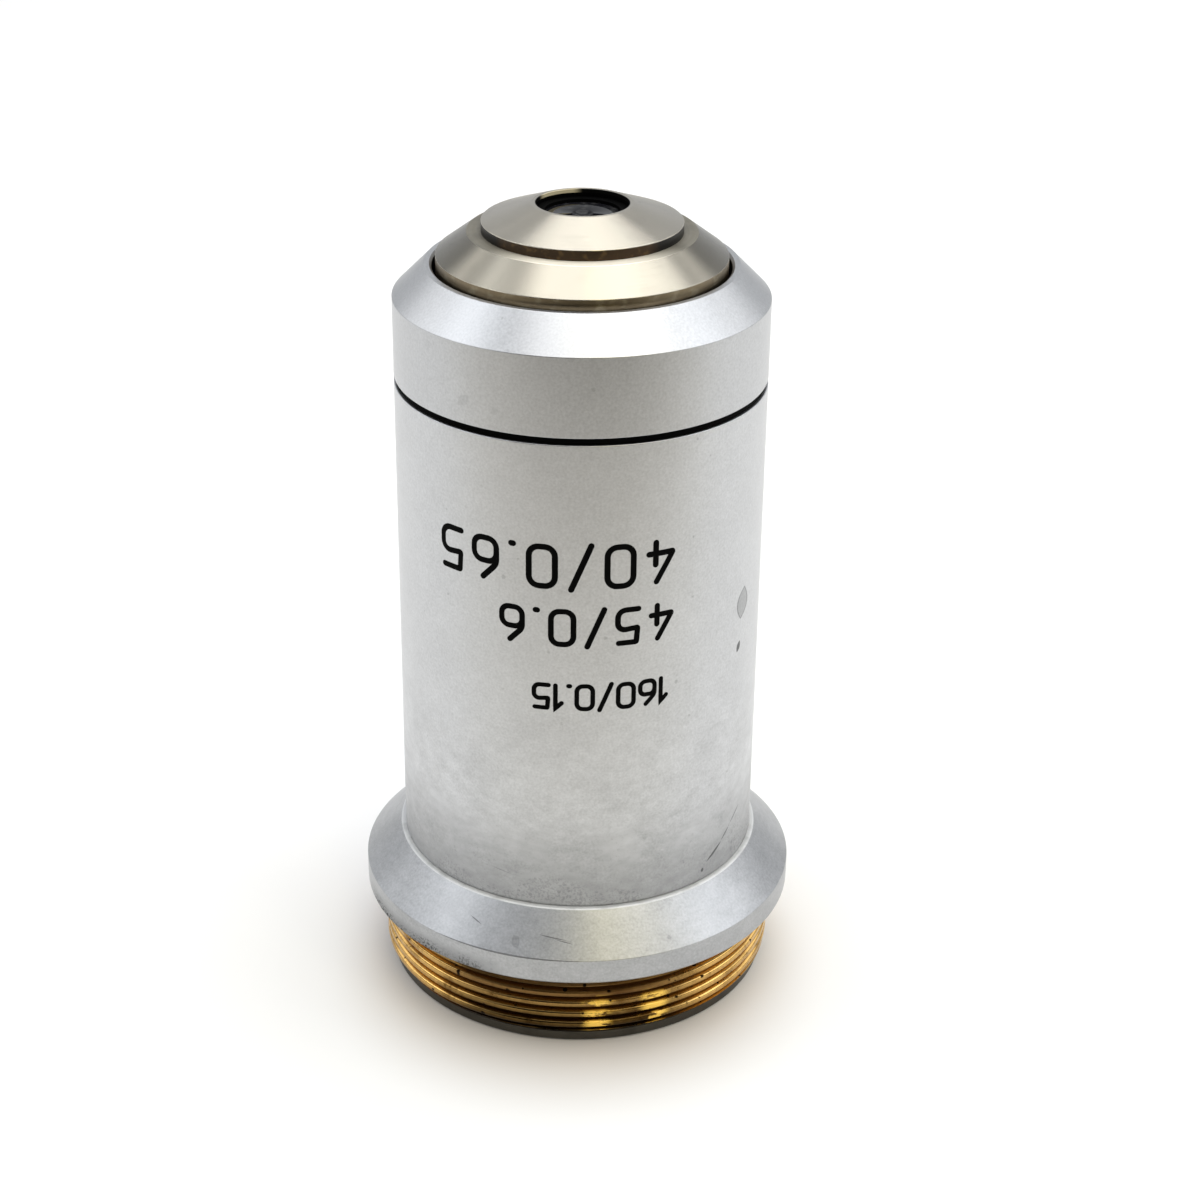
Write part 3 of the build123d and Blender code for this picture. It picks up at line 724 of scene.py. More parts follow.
class Finishes:
    """All materials of the objective, built once."""

    SLEEVE_R = 11.1
    CONE_R = 12.6
    RIM_R = 13.6

    def __init__(self, effects: Effects) -> None:
        """Build the materials.

        Args:
            effects: Shared node groups.
        """
        self.effects = effects
        self.build_satin()
        self.build_nose()
        self.build_plain()
        self.brass = TarnishedBrass(
            "bare_brass_thread",
            srgb(216, 174, 103),
            brown=srgb(104, 68, 22),
            # black of the specks, and of the painted shade on the front
            black=srgb(34, 22, 10),
            dull=srgb(98, 70, 42),
            # painted glints: the pale yellow of the two bright sectors
            rubbed_colour=srgb(255, 208, 92),
            root_r=12.1,
            crest_r=12.4,
            # sectors of the painted glints
            rubbed=((1.0, 11.8), (17.8, 29.0)),
        ).build(effects)

    def build_satin(self) -> None:
        """Build the satin chrome of sleeve, cap and flange."""
        effects = self.effects
        self.sleeve = SatinChrome(
            "satin_chrome_sleeve",
            srgb(195, 196, 198),
            speck_share=0.08,
            grime_low=9.3,
            grime_high=16.5,
            grime=0.5,
            film=0.58,
            mottle=0.44,
            marks=self.sleeve_marks(),
        ).build(effects)
        self.cap = SatinChrome(
            "satin_chrome_cap", srgb(190, 191, 193), speck_share=0.03, marks=self.cap_marks()
        ).build(effects)
        self.flange = SatinChrome(
            "satin_chrome_flange",
            srgb(173, 174, 176),
            roughness=0.38,
            grime_low=5.45,
            grime_high=6.6,
            grime=0.95,
            film=0.34,
            grain=0.6,
            grime_sector=(-78.0, -16.0),
            marks=self.flange_marks(),
        ).build(effects)

    def build_nose(self) -> None:
        """Build the finishes of the nose and of the lenses."""
        effects = self.effects
        self.nickel = PolishedNickel("polished_nickel_cell", srgb(190, 184, 171)).build(effects)
        self.shell_nickel = PolishedNickel("polished_nickel_shell", srgb(180, 174, 160), tarnish=0.5).build(effects)
        self.bronze = DarkMetal(
            "tarnished_bronze",
            srgb(58, 44, 29),
            metallic=0.4,
            specular=0.3,
            worn=srgb(82, 64, 40),
            # painted shade: the band darkens at its sides and behind
            clean_sector=(-58.0, 50.0),
        ).build(effects)
        self.aperture = DarkMetal(
            "worn_black_aperture",
            srgb(12, 11, 9),
            metallic=0.2,
            specular=0.1,
            worn=srgb(206, 195, 164),
            worn_sector=(-180.0, -112.0),
        ).build(effects)
        # painted highlight: the ledge is pale in front and dark at its sides and behind
        self.matt_nickel = DarkMetal(
            "matt_nickel_ledge",
            srgb(116, 112, 101),
            metallic=0.35,
            roughness=0.5,
            worn=srgb(240, 233, 217),
            worn_sector=(-56.0, 62.0),
            worn_soft=42.0,
        ).build(effects)
        self.dull_nickel = DarkMetal(
            "dull_nickel", srgb(130, 117, 95), roughness=0.36, worn=srgb(146, 136, 114)
        ).build(effects)
        # painted shade: the front lens and its hollow are dark and mostly opaque, standing for the dark inside seen
        # through them
        self.front_glass = LensGlass(
            "front_lens_glass", srgb(22, 22, 26), ior=1.52, coating=0.22, clearness=0.2
        ).build(effects)
        self.pupil_glass = LensGlass(
            "front_lens_hollow", srgb(20, 20, 23), ior=1.52, coating=0.08, clearness=0.2
        ).build(effects)
        self.lens_glass = LensGlass("inner_lens_glass", srgb(236, 238, 240)).build(effects)

    def build_plain(self) -> None:
        """Build the plain metals and blacks."""

        def plain(
            name: str, grey: tuple[int, int, int], metallic: float, roughness: float, specular: float = 0.5
        ) -> bpy.types.Material:
            """One plain metal or black."""
            return DarkMetal(name, srgb(*grey), metallic, roughness, specular).build(self.effects)

        # painted highlight: a pale, part-matt finish on the collar's rounded lip, which shows as a bright line
        self.collar_edge = plain("worn_collar_edge", (206, 207, 208), 0.3, 0.45)
        self.foot = plain("gunmetal_foot", (84, 82, 76), 1.0, 0.34)
        self.black = plain("dull_black", (10, 10, 10), 0.0, 0.6, 0.12)
        self.groove = plain("groove_black", (3, 3, 3), 0.0, 0.7, 0.03)
        self.fill = plain("black_fill", (3, 3, 3), 0.0, 0.65, 0.04)
        self.black_brass = plain("blackened_brass", (38, 34, 30), 0.6, 0.5)
        self.spring = plain("spring_steel", (150, 150, 152), 1.0, 0.28)
        self.screw = plain("screw_steel", (128, 128, 130), 1.0, 0.32)

    def sleeve_marks(self) -> tuple[Mark, ...]:
        """Ding, nick and broken scratch on the right of the sleeve, and a short scuff low in front.

        Returns:
            The marks.
        """
        r = self.SLEEVE_R
        return (
            # ding: its dark rim is painted shade of the dent's sloping walls
            Mark(61.8, 27.1, r, 0.62, 0.98, slant=-12.0, depth=0.28, rim=-0.6),
            Mark(60.0, 24.3, r, 0.22, 0.4, slant=-24.0, depth=0.72),
            Mark(62.0, 12.4, r, 0.07, 0.85, slant=-58.0, depth=0.58),
            Mark(56.2, 11.6, r, 0.08, 0.6, slant=-55.0, depth=0.62),
            Mark(50.2, 10.8, r, 0.11, 0.9, slant=-60.0, depth=0.72),
            Mark(44.6, 9.95, r, 0.13, 0.16, depth=0.7),
            Mark(-24.0, 11.2, r, 0.04, 0.8, slant=80.0, depth=0.4),
        )

    def cap_marks(self) -> tuple[Mark, ...]:
        """Two faint smudges on the left of the cap.

        Returns:
            The marks.
        """
        return (
            Mark(-35.7, 41.25, self.SLEEVE_R, 0.3, 0.55, slant=-50.0, depth=0.11),
            Mark(-25.0, 41.0, self.SLEEVE_R, 0.2, 0.3, slant=-50.0, depth=0.07),
        )

    def flange_marks(self) -> tuple[Mark, ...]:
        """Fine scratches and a smudge on the cone of the flange, and a dark line along the edge below it.

        Returns:
            The marks.
        """
        r = self.CONE_R
        return (
            Mark(-6.0, 7.95, r, 0.03, 0.9, slant=84.0, depth=0.55),
            Mark(-3.0, 7.8, r, 0.03, 0.6, slant=80.0, depth=0.45),
            Mark(-29.0, 8.1, r, 0.03, 0.5, slant=76.0, depth=0.5),
            Mark(-16.0, 7.6, r, 0.25, 0.35, slant=40.0, depth=0.18),
            Mark(-18.0, 6.98, self.RIM_R, 0.05, 5.2, slant=90.0, depth=0.45, rim=0.1),
        )


def round_corners(points: list[Point], radii: list[float], closed: bool, steps: int = 4) -> list[list[Point]]:
    """Replace corners of a flat line by arcs.

    Args:
        points: Corners of the line.
        radii: Rounding of each corner, 0 for a sharp one.
        closed: Whether the last corner joins the first.
        steps: Runs of each arc.

    Returns:
        For each corner its points in order: the corner itself, or the arc with a support point at each end.
    """
    rounded = []
    for i, (x, y) in enumerate(points):
        open_end = not closed and i in (0, len(points) - 1)
        if open_end or radii[i] <= 0:
            rounded.append([(x, y)])
            continue
        corner = Vector((x, y))
        back = Vector(points[i - 1]) - corner
        ahead = Vector(points[(i + 1) % len(points)]) - corner
        half = back.angle(ahead) / 2
        reach = min(radii[i] / math.tan(half), ARC_SHARE * back.length, ARC_SHARE * ahead.length)
        start = corner + back.normalized() * reach
        end = corner + ahead.normalized() * reach
        middle = corner + (back.normalized() + ahead.normalized()).normalized() * (reach / math.cos(half))
        arm_a, arm_b = start - middle, end - middle
        sweep = math.atan2(arm_a.x * arm_b.y - arm_a.y * arm_b.x, arm_a.dot(arm_b))
        arc = [middle + Matrix.Rotation(sweep * s / steps, 2) @ arm_a for s in range(steps + 1)]
        hold = HOLD_SHARE * reach
        arc = [start + back.normalized() * hold, *arc, end + ahead.normalized() * hold]
        rounded.append([(p.x, p.y) for p in arc])
    return rounded


@dataclass(frozen=True)
class Corner:
    """Corner of a half section, with its rounding and the finish of the run that starts there."""

    r: float
    z: float
    rounding: float = 0.0
    finish: int = 0


def run(finish: int, *corners: tuple[float, ...]) -> list[Corner]:
    """Corners of one finish, each given by its radius, height and perhaps rounding."""
    return [Corner(*corner, finish=finish) for corner in corners]


@dataclass
class Turning:
    """A turned mesh: the half section is spun about the axis in columns."""

    name: str
    columns: int = 256
    bm: bmesh.types.BMesh = field(default_factory=bmesh.new)

    def ring(self, r: float, z: float) -> list[bmesh.types.BMVert]:
        """Vertices round the axis, or one vertex on it.

        Args:
            r: Distance from the axis.
            z: Height.

        Returns:
            The vertices.
        """
        if r < ON_AXIS:
            return [self.bm.verts.new((0.0, 0.0, z * MM))]
        return [self.bm.verts.new(place(r, 360 * j / self.columns, z)) for j in range(self.columns)]

    def skin(self, low: list, high: list, finish: int) -> None:
        """Faces between two rings of vertices.

        Args:
            low: Ring at the start of the run.
            high: Ring at its end.
            finish: Index of the finish.
        """
        for j in range(self.columns):
            k = (j + 1) % self.columns
            around = [low[j % len(low)], low[k % len(low)], high[k % len(high)], high[j % len(high)]]
            self.face(around, finish)

    def face(self, around: list[bmesh.types.BMVert], finish: int) -> None:
        """One face from its corners, without those that fall together.

        Args:
            around: Vertices round the face.
            finish: Index of the finish.
        """
        corners = list(dict.fromkeys(around))
        if len(corners) > 2:
            self.bm.faces.new(corners).material_index = finish

    def spin(self, corners: list[Corner], closed: bool = True) -> list[list[bmesh.types.BMVert]]:
        """Spin a half section that runs anticlockwise, with its material on the left.

        Args:
            corners: Corners of the half section.
            closed: Whether the last corner joins the first.

        Returns:
            The rings of vertices in order.
        """
        shapes = round_corners([(c.r, c.z) for c in corners], [c.rounding for c in corners], closed)
        rings = []
        runs = []
        for corner, shape in zip(corners, shapes):
            rings += [self.ring(max(r, 0.0), z) for r, z in shape]
            runs += [corner.finish] * len(shape)
        count = len(rings)
        for i in range(count if closed else count - 1):
            if len(rings[i]) + len(rings[(i + 1) % count]) > 2:
                self.skin(rings[i], rings[(i + 1) % count], runs[i])
        return rings

    def finish(self, materials: list[bpy.types.Material], body: Body, slot: Slot, *nodes: str) -> bpy.types.Object:
        """Make the object with materials by finish index, on a body and in place of CAD nodes."""
        return hand_over(self.name, self.bm, materials, body, slot, *nodes)


def place(r: float, angle: float, z: float) -> Vector:
    """Point in metres at a distance from the axis, an angle from the front and a height, in millimetres."""
    turn = math.radians(angle)
    return Vector((r * math.sin(turn), -r * math.cos(turn), z)) * MM


def hand_over(
    name: str, bm: bmesh.types.BMesh, materials: list, body: Body, slot: Slot, *nodes: str
) -> bpy.types.Object:
    """Turn a finished mesh into a piece of the objective.

    Args:
        name: Name of the piece.
        bm: Its mesh, which is freed.
        materials: Materials by finish index.
        body: CAD body that it rides on.
        slot: Material slot of the record; not used.
        nodes: CAD nodes that it replaces.

    Returns:
        The piece.
    """
    mesh = bpy.data.meshes.new(name)
    bm.to_mesh(mesh)
    bm.free()
    for material in materials:
        mesh.materials.append(material)
    mesh.shade_smooth()
    mesh.set_sharp_from_angle(angle=SHARP_FROM)
    piece = bpy.data.objects.new(name, mesh)
    bpy.context.scene.collection.objects.link(piece)
    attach(piece, body.value)
    if nodes:
        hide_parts(*nodes)
    log.info("%s: %d faces, on %s", name, len(mesh.polygons), body.value)
    return piece


@dataclass
class SubAssembly:
    """A group of pieces that are made together."""

    finishes: Finishes

    def build(self) -> None:
        """Make the pieces, which each sub-assembly does in its own way."""
        raise NotImplementedError


@dataclass
class ThreadMount(SubAssembly):
    """Foot, thread, flange and guide tube, turned from one bar."""

    thread_r: float = 12.475
    thread_low: float = 0.7
    thread_high: float = 4.6
    pitch: float = 0.75
    root_r: float = 12.06
    root_sharpness: float = 2.6
    rows_a_turn: int = 14
    columns: int = 288
    foot_r: float = 12.09
    relief_r: float = 11.95
    shoulder_z: float = 5.3
    undercut_r: float = 12.6
    undercut_z: float = 5.4
    flange_r: float = 13.64
    rim_z: float = 6.97
    collar_r: float = 11.33
    collar_z: float = 9.25
    tube_r: float = 9.93
    tube_z: float = 35.23
    guide_r: float = 8.6
    seat_z: float = 12.5
    tail_r: float = 7.33
    recess_r: float = 10.0
    recess_z: float = 6.0
    screw_hole_r: float = 1.02
    chamfer: float = 0.15
    recess_chamfer: float = 0.4
    screw_hole_y: float = 9.3
    screw_hole_z: float = 30.03
    screw_hole_depth: float = 3.0

    CHROME, BRASS, FOOT, BLACK, EDGE = range(5)
    HOLE_SIDES = 48
    MEETS = 1 / 8  # of a row, the nearness at which the helix takes an end ring's vertex

    def section(self) -> list[Corner]:
        """Half section from the top of the thread over flange, tube and recess to the foot.

        Returns:
            Its corners.
        """
        return [
            *run(self.BRASS, (self.root_r, self.thread_high), (self.relief_r, self.thread_high)),
            *run(self.BRASS, (self.relief_r, self.undercut_z, 0.05)),
            *run(self.CHROME, (self.undercut_r, self.undercut_z), (self.undercut_r, self.shoulder_z)),
            *run(self.CHROME, (self.flange_r - self.chamfer, self.shoulder_z, 0.04)),
            *run(self.CHROME, (self.flange_r, self.shoulder_z + self.chamfer, 0.08), (self.flange_r, self.rim_z, 0.05)),
            # painted highlight: the collar's rounded lip
            *run(self.EDGE, (self.collar_r, self.collar_z, 0.2)),
            *run(self.BRASS, (self.tube_r, self.collar_z), (self.tube_r, self.tube_z, 0.1)),
            *run(self.BLACK, (self.guide_r, self.tube_z, 0.1), (self.guide_r, self.seat_z)),
            *run(self.BLACK, (self.tail_r, self.seat_z), (self.tail_r, self.recess_z), (self.recess_r, self.recess_z)),
            *run(self.FOOT, (self.recess_r, self.recess_chamfer, 0.05)),
            *run(self.FOOT, (self.recess_r + self.recess_chamfer, 0.0, 0.05)),
            *run(self.FOOT, (self.foot_r - self.chamfer, 0.0, 0.05), (self.foot_r, self.chamfer, 0.06)),
            *run(self.FOOT, (self.foot_r, self.thread_low, 0.05)),
            *run(self.BRASS, (self.root_r, self.thread_low)),
        ]

    def thread_radius(self, row: int, z: float) -> float:
        """Radius of the thread.

        Args:
            row: Row of the helix, which sets the place across the thread.
            z: Height, which sets the lead-in at both ends.

        Returns:
            The radius in millimetres.
        """
        fall = ((1 - math.cos(2 * math.pi * row / self.rows_a_turn)) / 2) ** self.root_sharpness
        ridge = self.thread_r - (self.thread_r - self.root_r) * fall
        lead_in = self.root_r + min(z - self.thread_low, self.thread_high - z)
        return min(ridge, lead_in)

    def cut_thread(self, turning: Turning, low: list, high: list) -> None:
        """Skin the thread along its helix, between the rings at its two ends.

        Args:
            turning: Mesh that it belongs to.
            low: Ring of vertices under the thread.
            high: Ring of vertices over it.
        """
        step = self.pitch / self.rows_a_turn
        rows = round((self.thread_high - self.thread_low) / step) + 2
        made = {}

        def vertex(column: int, row: int) -> bmesh.types.BMVert:
            """Vertex of the helix, or the end ring's where the helix runs out.

            Args:
                column: Place round the axis.
                row: Place along the helix.

            Returns:
                The vertex.
            """
            if column == self.columns:
                column, row = 0, row + self.rows_a_turn
            z = self.thread_low + step * row + self.pitch * column / self.columns
            if z <= self.thread_low + step * self.MEETS:
                return low[column]
            if z >= self.thread_high - step * self.MEETS:
                return high[column]
            if (column, row) not in made:
                angle = 360 * column / self.columns
                made[column, row] = turning.bm.verts.new(place(self.thread_radius(row, z), angle, z))
            return made[column, row]

        for column in range(self.columns):
            for row in range(-self.rows_a_turn - 1, rows):
                around = [vertex(column, row), vertex(column + 1, row)]
                around += [vertex(column + 1, row + 1), vertex(column, row + 1)]
                turning.face(around, self.BRASS)

    def drill(self, piece: bpy.types.Object) -> None:
        """Drill the hole of the guide screw through the back of the guide tube.

        Args:
            piece: The mount.
        """
        bm = bmesh.new()
        turn = Matrix.Rotation(math.pi / 2, 4, "X")
        middle = Matrix.Translation((0, self.screw_hole_y * MM, self.screw_hole_z * MM)) @ turn
        radius, depth = self.screw_hole_r * MM, self.screw_hole_depth * MM
        bmesh.ops.create_cone(
            bm, cap_ends=True, segments=self.HOLE_SIDES, radius1=radius, radius2=radius, depth=depth, matrix=middle
        )
        mesh = bpy.data.meshes.new("screw_hole")
        bm.to_mesh(mesh)
        bm.free()
        cutter = bpy.data.objects.new("screw_hole", mesh)
        bpy.context.scene.collection.objects.link(cutter)
        cut = piece.modifiers.new("screw_hole", "BOOLEAN")
        cut.object = cutter
        cut.operation = "DIFFERENCE"
        cut.solver = "EXACT"
        bpy.context.view_layer.update()
        shaped = piece.evaluated_get(bpy.context.evaluated_depsgraph_get())
        piece.data = bpy.data.meshes.new_from_object(shaped)
        piece.modifiers.clear()
        bpy.data.objects.remove(cutter)

    def build(self) -> None:
        """Make the mount."""
        finishes = self.finishes
        turning = Turning("mount_turned", self.columns)
        rings = turning.spin(self.section(), closed=False)
        self.cut_thread(turning, low=rings[-1], high=rings[0])
        materials = [finishes.flange, finishes.brass, finishes.foot, finishes.black, finishes.collar_edge]
        piece = turning.finish(materials, Body.FIXED, Slot.BRASS, "thread_mount")
        self.drill(piece)


class Digit(Enum):
    """Engraved signs as lines in a cell of height 1: corners, roundings and whether the line is closed."""

    ZERO = ("0", 0.62, (((0, 0), (0.62, 0), (0.62, 1), (0, 1)), (0.24, 0.24, 0.24, 0.24), True))
    ONE = ("1", 0.24, (((0, 0.76), (0.24, 1), (0.24, 0)), (0, 0, 0), False))
    FOUR = (
        "4",
        0.62,
        (((0.42, 1), (0, 0.28), (0.62, 0.28)), (0, 0.02, 0), False),
        (((0.45, 0.56), (0.45, 0)), (0, 0), False),
    )
    FIVE = (
        "5",
        0.58,
        (
            ((0.55, 1), (0.05, 1), (0.02, 0.56), (0.58, 0.62), (0.58, 0), (0, 0)),
            (0, 0.03, 0.03, 0.24, 0.24, 0),
            False,
        ),
    )
    SIX = (
        "6",
        0.6,
        (((0, 0), (0.6, 0), (0.6, 0.58), (0, 0.58)), (0.22, 0.22, 0.22, 0.22), True),
        (((0.0, 0.3), (0.0, 0.62), (0.36, 1)), (0, 0.3, 0), False),
    )
    SLASH = ("/", 0.46, (((0, -0.06), (0.46, 1.06)), (0, 0), False))
    POINT = (".", 0.05, (((0, 0), (0.05, 0)), (0, 0), False))

    def __init__(self, sign: str, width: float, *strokes: tuple) -> None:
        """Keep the sign, the width of its cell and its lines.

        Args:
            sign: The sign itself.
            width: Width of its cell.
            strokes: Its lines.
        """
        self.sign = sign
        self.width = width
        self.strokes = strokes


@dataclass
class Marking:
    """Plain numbers engraved in the sleeve and filled black, upside down as they are read with the nose down."""

    sleeve_r: float = 11.1
    proud: float = 0.006
    depth: float = 0.06
    step: float = 0.2
    bm: bmesh.types.BMesh = field(default_factory=bmesh.new)

    ARC_STEPS = 6
    LAYER_STEP = 0.0015  # keeps lines of one sign from lying in the same place where they cross
    END_ANGLES = (84, 65, 45, 22)
    LEAST_COSINE = 0.45  # keeps the line from growing too wide at sharp bends

    def write(
        self, text: str, start: float, foot_z: float, height: float, stroke: float, gap: float = 0.38
    ) -> None:
        """Engrave one line of numbers.

        Args:
            text: Signs of the line.
            start: Angle of its first sign's outer edge, at the right.
            foot_z: Height of the signs' feet, which are uppermost.
            height: Height of the signs.
            stroke: Width of their lines.
            gap: Room between signs as a share of their height.
        """
        signs = {digit.sign: digit for digit in Digit}
        along = 0.0
        for number, sign in enumerate(text):
            digit = signs[sign]
            for layer, (points, radii, closed) in enumerate(digit.strokes):
                corners = [(x * height, y * height) for x, y in points]
                shapes = round_corners(corners, [r * height for r in radii], closed, self.ARC_STEPS)
                line = [p for shape in shapes for p in shape]
                line = self.even(line + line[:1] if closed else line)
                raised = self.proud + self.LAYER_STEP * layer
                self.ribbon([(along + x, y) for x, y in line], closed, stroke, start, foot_z, raised)
            along += (digit.width + gap) * height

    def even(self, line: list[Point]) -> list[Point]:
        """Divide long runs, so that the line can bend round the sleeve.

        Args:
            line: Points along the line.

        Returns:
            The same line with more points.
        """
        points = [line[0]]
        for a, b in zip(line, line[1:]):
            runs = max(1, math.ceil(math.dist(a, b) / self.step))
            points += [(a[0] + (b[0] - a[0]) * s / runs, a[1] + (b[1] - a[1]) * s / runs) for s in range(1, runs + 1)]
        return points

    def ribbon(
        self, line: list[Point], closed: bool, stroke: float, start: float, foot_z: float, raised: float
    ) -> None:
        """Make one engraved line as a thin solid with round ends.

        Args:
            line: Points along the middle of the line, the first one again at the end if it is closed.
            closed: Whether the line closes.
            stroke: Width of the line.
            start: Angle where the text begins.
            foot_z: Height of the signs' feet.
            raised: Height of the fill over the sleeve.
        """
        middle = [Vector(p) for p in (line[:-1] if closed else line)]
        widths = [stroke / 2] * len(middle)
        if not closed:
            middle, widths = self.round_ends(middle, stroke / 2)
        count = len(middle)
        rings = []
        for i, point in enumerate(middle):
            before = middle[i - 1] if closed or i else point
            after = middle[(i + 1) % count] if closed or i + 1 < count else point
            side = self.mitre(before, point, after) * widths[i]
            rings.append([self.vertex(point + side * s, r, start, foot_z) for s, r in self.outline(raised)])
        for i in range(count if closed else count - 1):
            ahead = rings[(i + 1) % count]
            for k in range(4):
                m = (k + 1) % 4
                self.bm.faces.new([rings[i][k], rings[i][m], ahead[m], ahead[k]])
        if not closed:
            self.bm.faces.new(rings[0][::-1])
            self.bm.faces.new(rings[-1])

    def outline(self, raised: float) -> tuple[tuple[int, float], ...]:
        """Sides and radii of the four edges of a line."""
        top, bottom = self.sleeve_r + raised, self.sleeve_r - self.depth
        return ((1, bottom), (1, top), (-1, top), (-1, bottom))

    def vertex(self, point: Vector, r: float, start: float, foot_z: float) -> bmesh.types.BMVert:
        """Vertex on the sleeve for a point of the text, which runs left and hangs down."""
        angle = start - math.degrees(point.x / self.sleeve_r)
        return self.bm.verts.new(place(r, angle, foot_z - point.y))

    def round_ends(self, middle: list[Vector], half: float) -> tuple[list[Vector], list[float]]:
        """Lengthen a line by half circles.

        Args:
            middle: Points along the line.
            half: Half of its width.

        Returns:
            The longer line and its half width at each point.
        """
        first = (middle[0] - middle[1]).normalized()
        last = (middle[-1] - middle[-2]).normalized()
        turns = [math.radians(a) for a in self.END_ANGLES]
        head = [middle[0] + first * half * math.sin(a) for a in turns]
        tail = [middle[-1] + last * half * math.sin(a) for a in reversed(turns)]
        caps = [half * math.cos(a) for a in turns]
        return [*head, *middle, *tail], [*caps, *[half] * len(middle), *reversed(caps)]

    def mitre(self, before: Vector, point: Vector, after: Vector) -> Vector:
        """Direction to the side of a line, lengthened at its bends.

        Args:
            before: Point before this one.
            point: Point of the line.
            after: Point after it.

        Returns:
            The direction, 1 long where the line is straight.
        """
        into, out = point - before, after - point
        into = into.normalized() if into.length else out.normalized()
        out = out.normalized() if out.length else into
        mean = (into + out).normalized()
        side = Vector((-mean.y, mean.x))
        return side / max(side.dot(Vector((-into.y, into.x))), self.LEAST_COSINE)


@dataclass
class OuterSleeve(SubAssembly):
    """Plain sleeve with its marking."""

    bore_r: float = 9.95
    outer_r: float = 11.1
    foot_z: float = 9.25
    top_z: float = 39.41
    chamfer: float = 0.06

    def build(self) -> None:
        """Make the sleeve and its marking."""
        finishes = self.finishes
        turning = Turning("sleeve_turned")
        turning.spin(
            [
                Corner(self.bore_r, self.foot_z),
                Corner(self.outer_r - self.chamfer, self.foot_z, 0.03),
                Corner(self.outer_r, self.foot_z + self.chamfer, 0.03),
                Corner(self.outer_r, self.top_z, 0.05),
                Corner(self.bore_r, self.top_z),
            ]
        )
        turning.finish([finishes.sleeve], Body.FIXED, Slot.CHROME, "outer_sleeve")
        marking = Marking(self.outer_r)
        marking.write("40/0.65", start=29.2, foot_z=33.2, height=2.45, stroke=0.36)
        marking.write("45/0.6", start=29.2, foot_z=29.2, height=2.1, stroke=0.34)
        marking.write("160/0.15", start=28.0, foot_z=24.4, height=1.5, stroke=0.28, gap=0.27)
        bmesh.ops.recalc_face_normals(marking.bm, faces=marking.bm.faces)
        hand_over("marking_numbers", marking.bm, [finishes.fill], Body.FIXED, Slot.BLACK)


@dataclass
class FrontCap(SubAssembly):
    """Cap with its cone, and the black ring in the groove below it."""

    spigot_bore_r: float = 9.38
    spigot_r: float = 9.93
    spigot_z: float = 35.63
    sleeve_bore_r: float = 9.95
    outer_r: float = 11.1
    ring_r: float = 10.95
    ring_z: float = 39.41
    foot_z: float = 39.83
    edge_z: float = 44.57
    top_z: float = 46.46
    land: float = 0.47
    chamfer: float = 0.15
    bore_r: float = 8.74
    ledge_z: float = 41.5

    CHROME, BLACK = range(2)

    def build(self) -> None:
        """Make the cap and the ring."""
        finishes = self.finishes
        cap = Turning("cap_turned")
        cap.spin(
            [
                *run(self.CHROME, (self.spigot_bore_r, self.spigot_z), (self.spigot_r, self.spigot_z)),
                *run(self.BLACK, (self.spigot_r, self.foot_z)),
                *run(self.CHROME, (self.outer_r, self.foot_z, 0.05), (self.outer_r, self.edge_z, 0.06)),
                *run(self.CHROME, (self.bore_r + self.land, self.top_z, 0.05)),
                *run(self.CHROME, (self.bore_r + self.chamfer, self.top_z, 0.03)),
                *run(self.BLACK, (self.bore_r, self.top_z - self.chamfer, 0.03)),
                *run(self.BLACK, (self.bore_r, self.ledge_z), (self.spigot_bore_r, self.ledge_z)),
            ]
        )
        cap.finish([finishes.cap, finishes.black], Body.FIXED, Slot.CHROME, "front_cap")
        ring = Turning("groove_ring_turned")
        ring.spin(
            [
                Corner(self.sleeve_bore_r, self.ring_z),
                Corner(self.ring_r, self.ring_z, 0.04),
                Corner(self.ring_r, self.foot_z, 0.04),
                Corner(self.sleeve_bore_r, self.foot_z),
            ]
        )
        ring.finish([finishes.groove], Body.FIXED, Slot.BLACK, "code_ring")


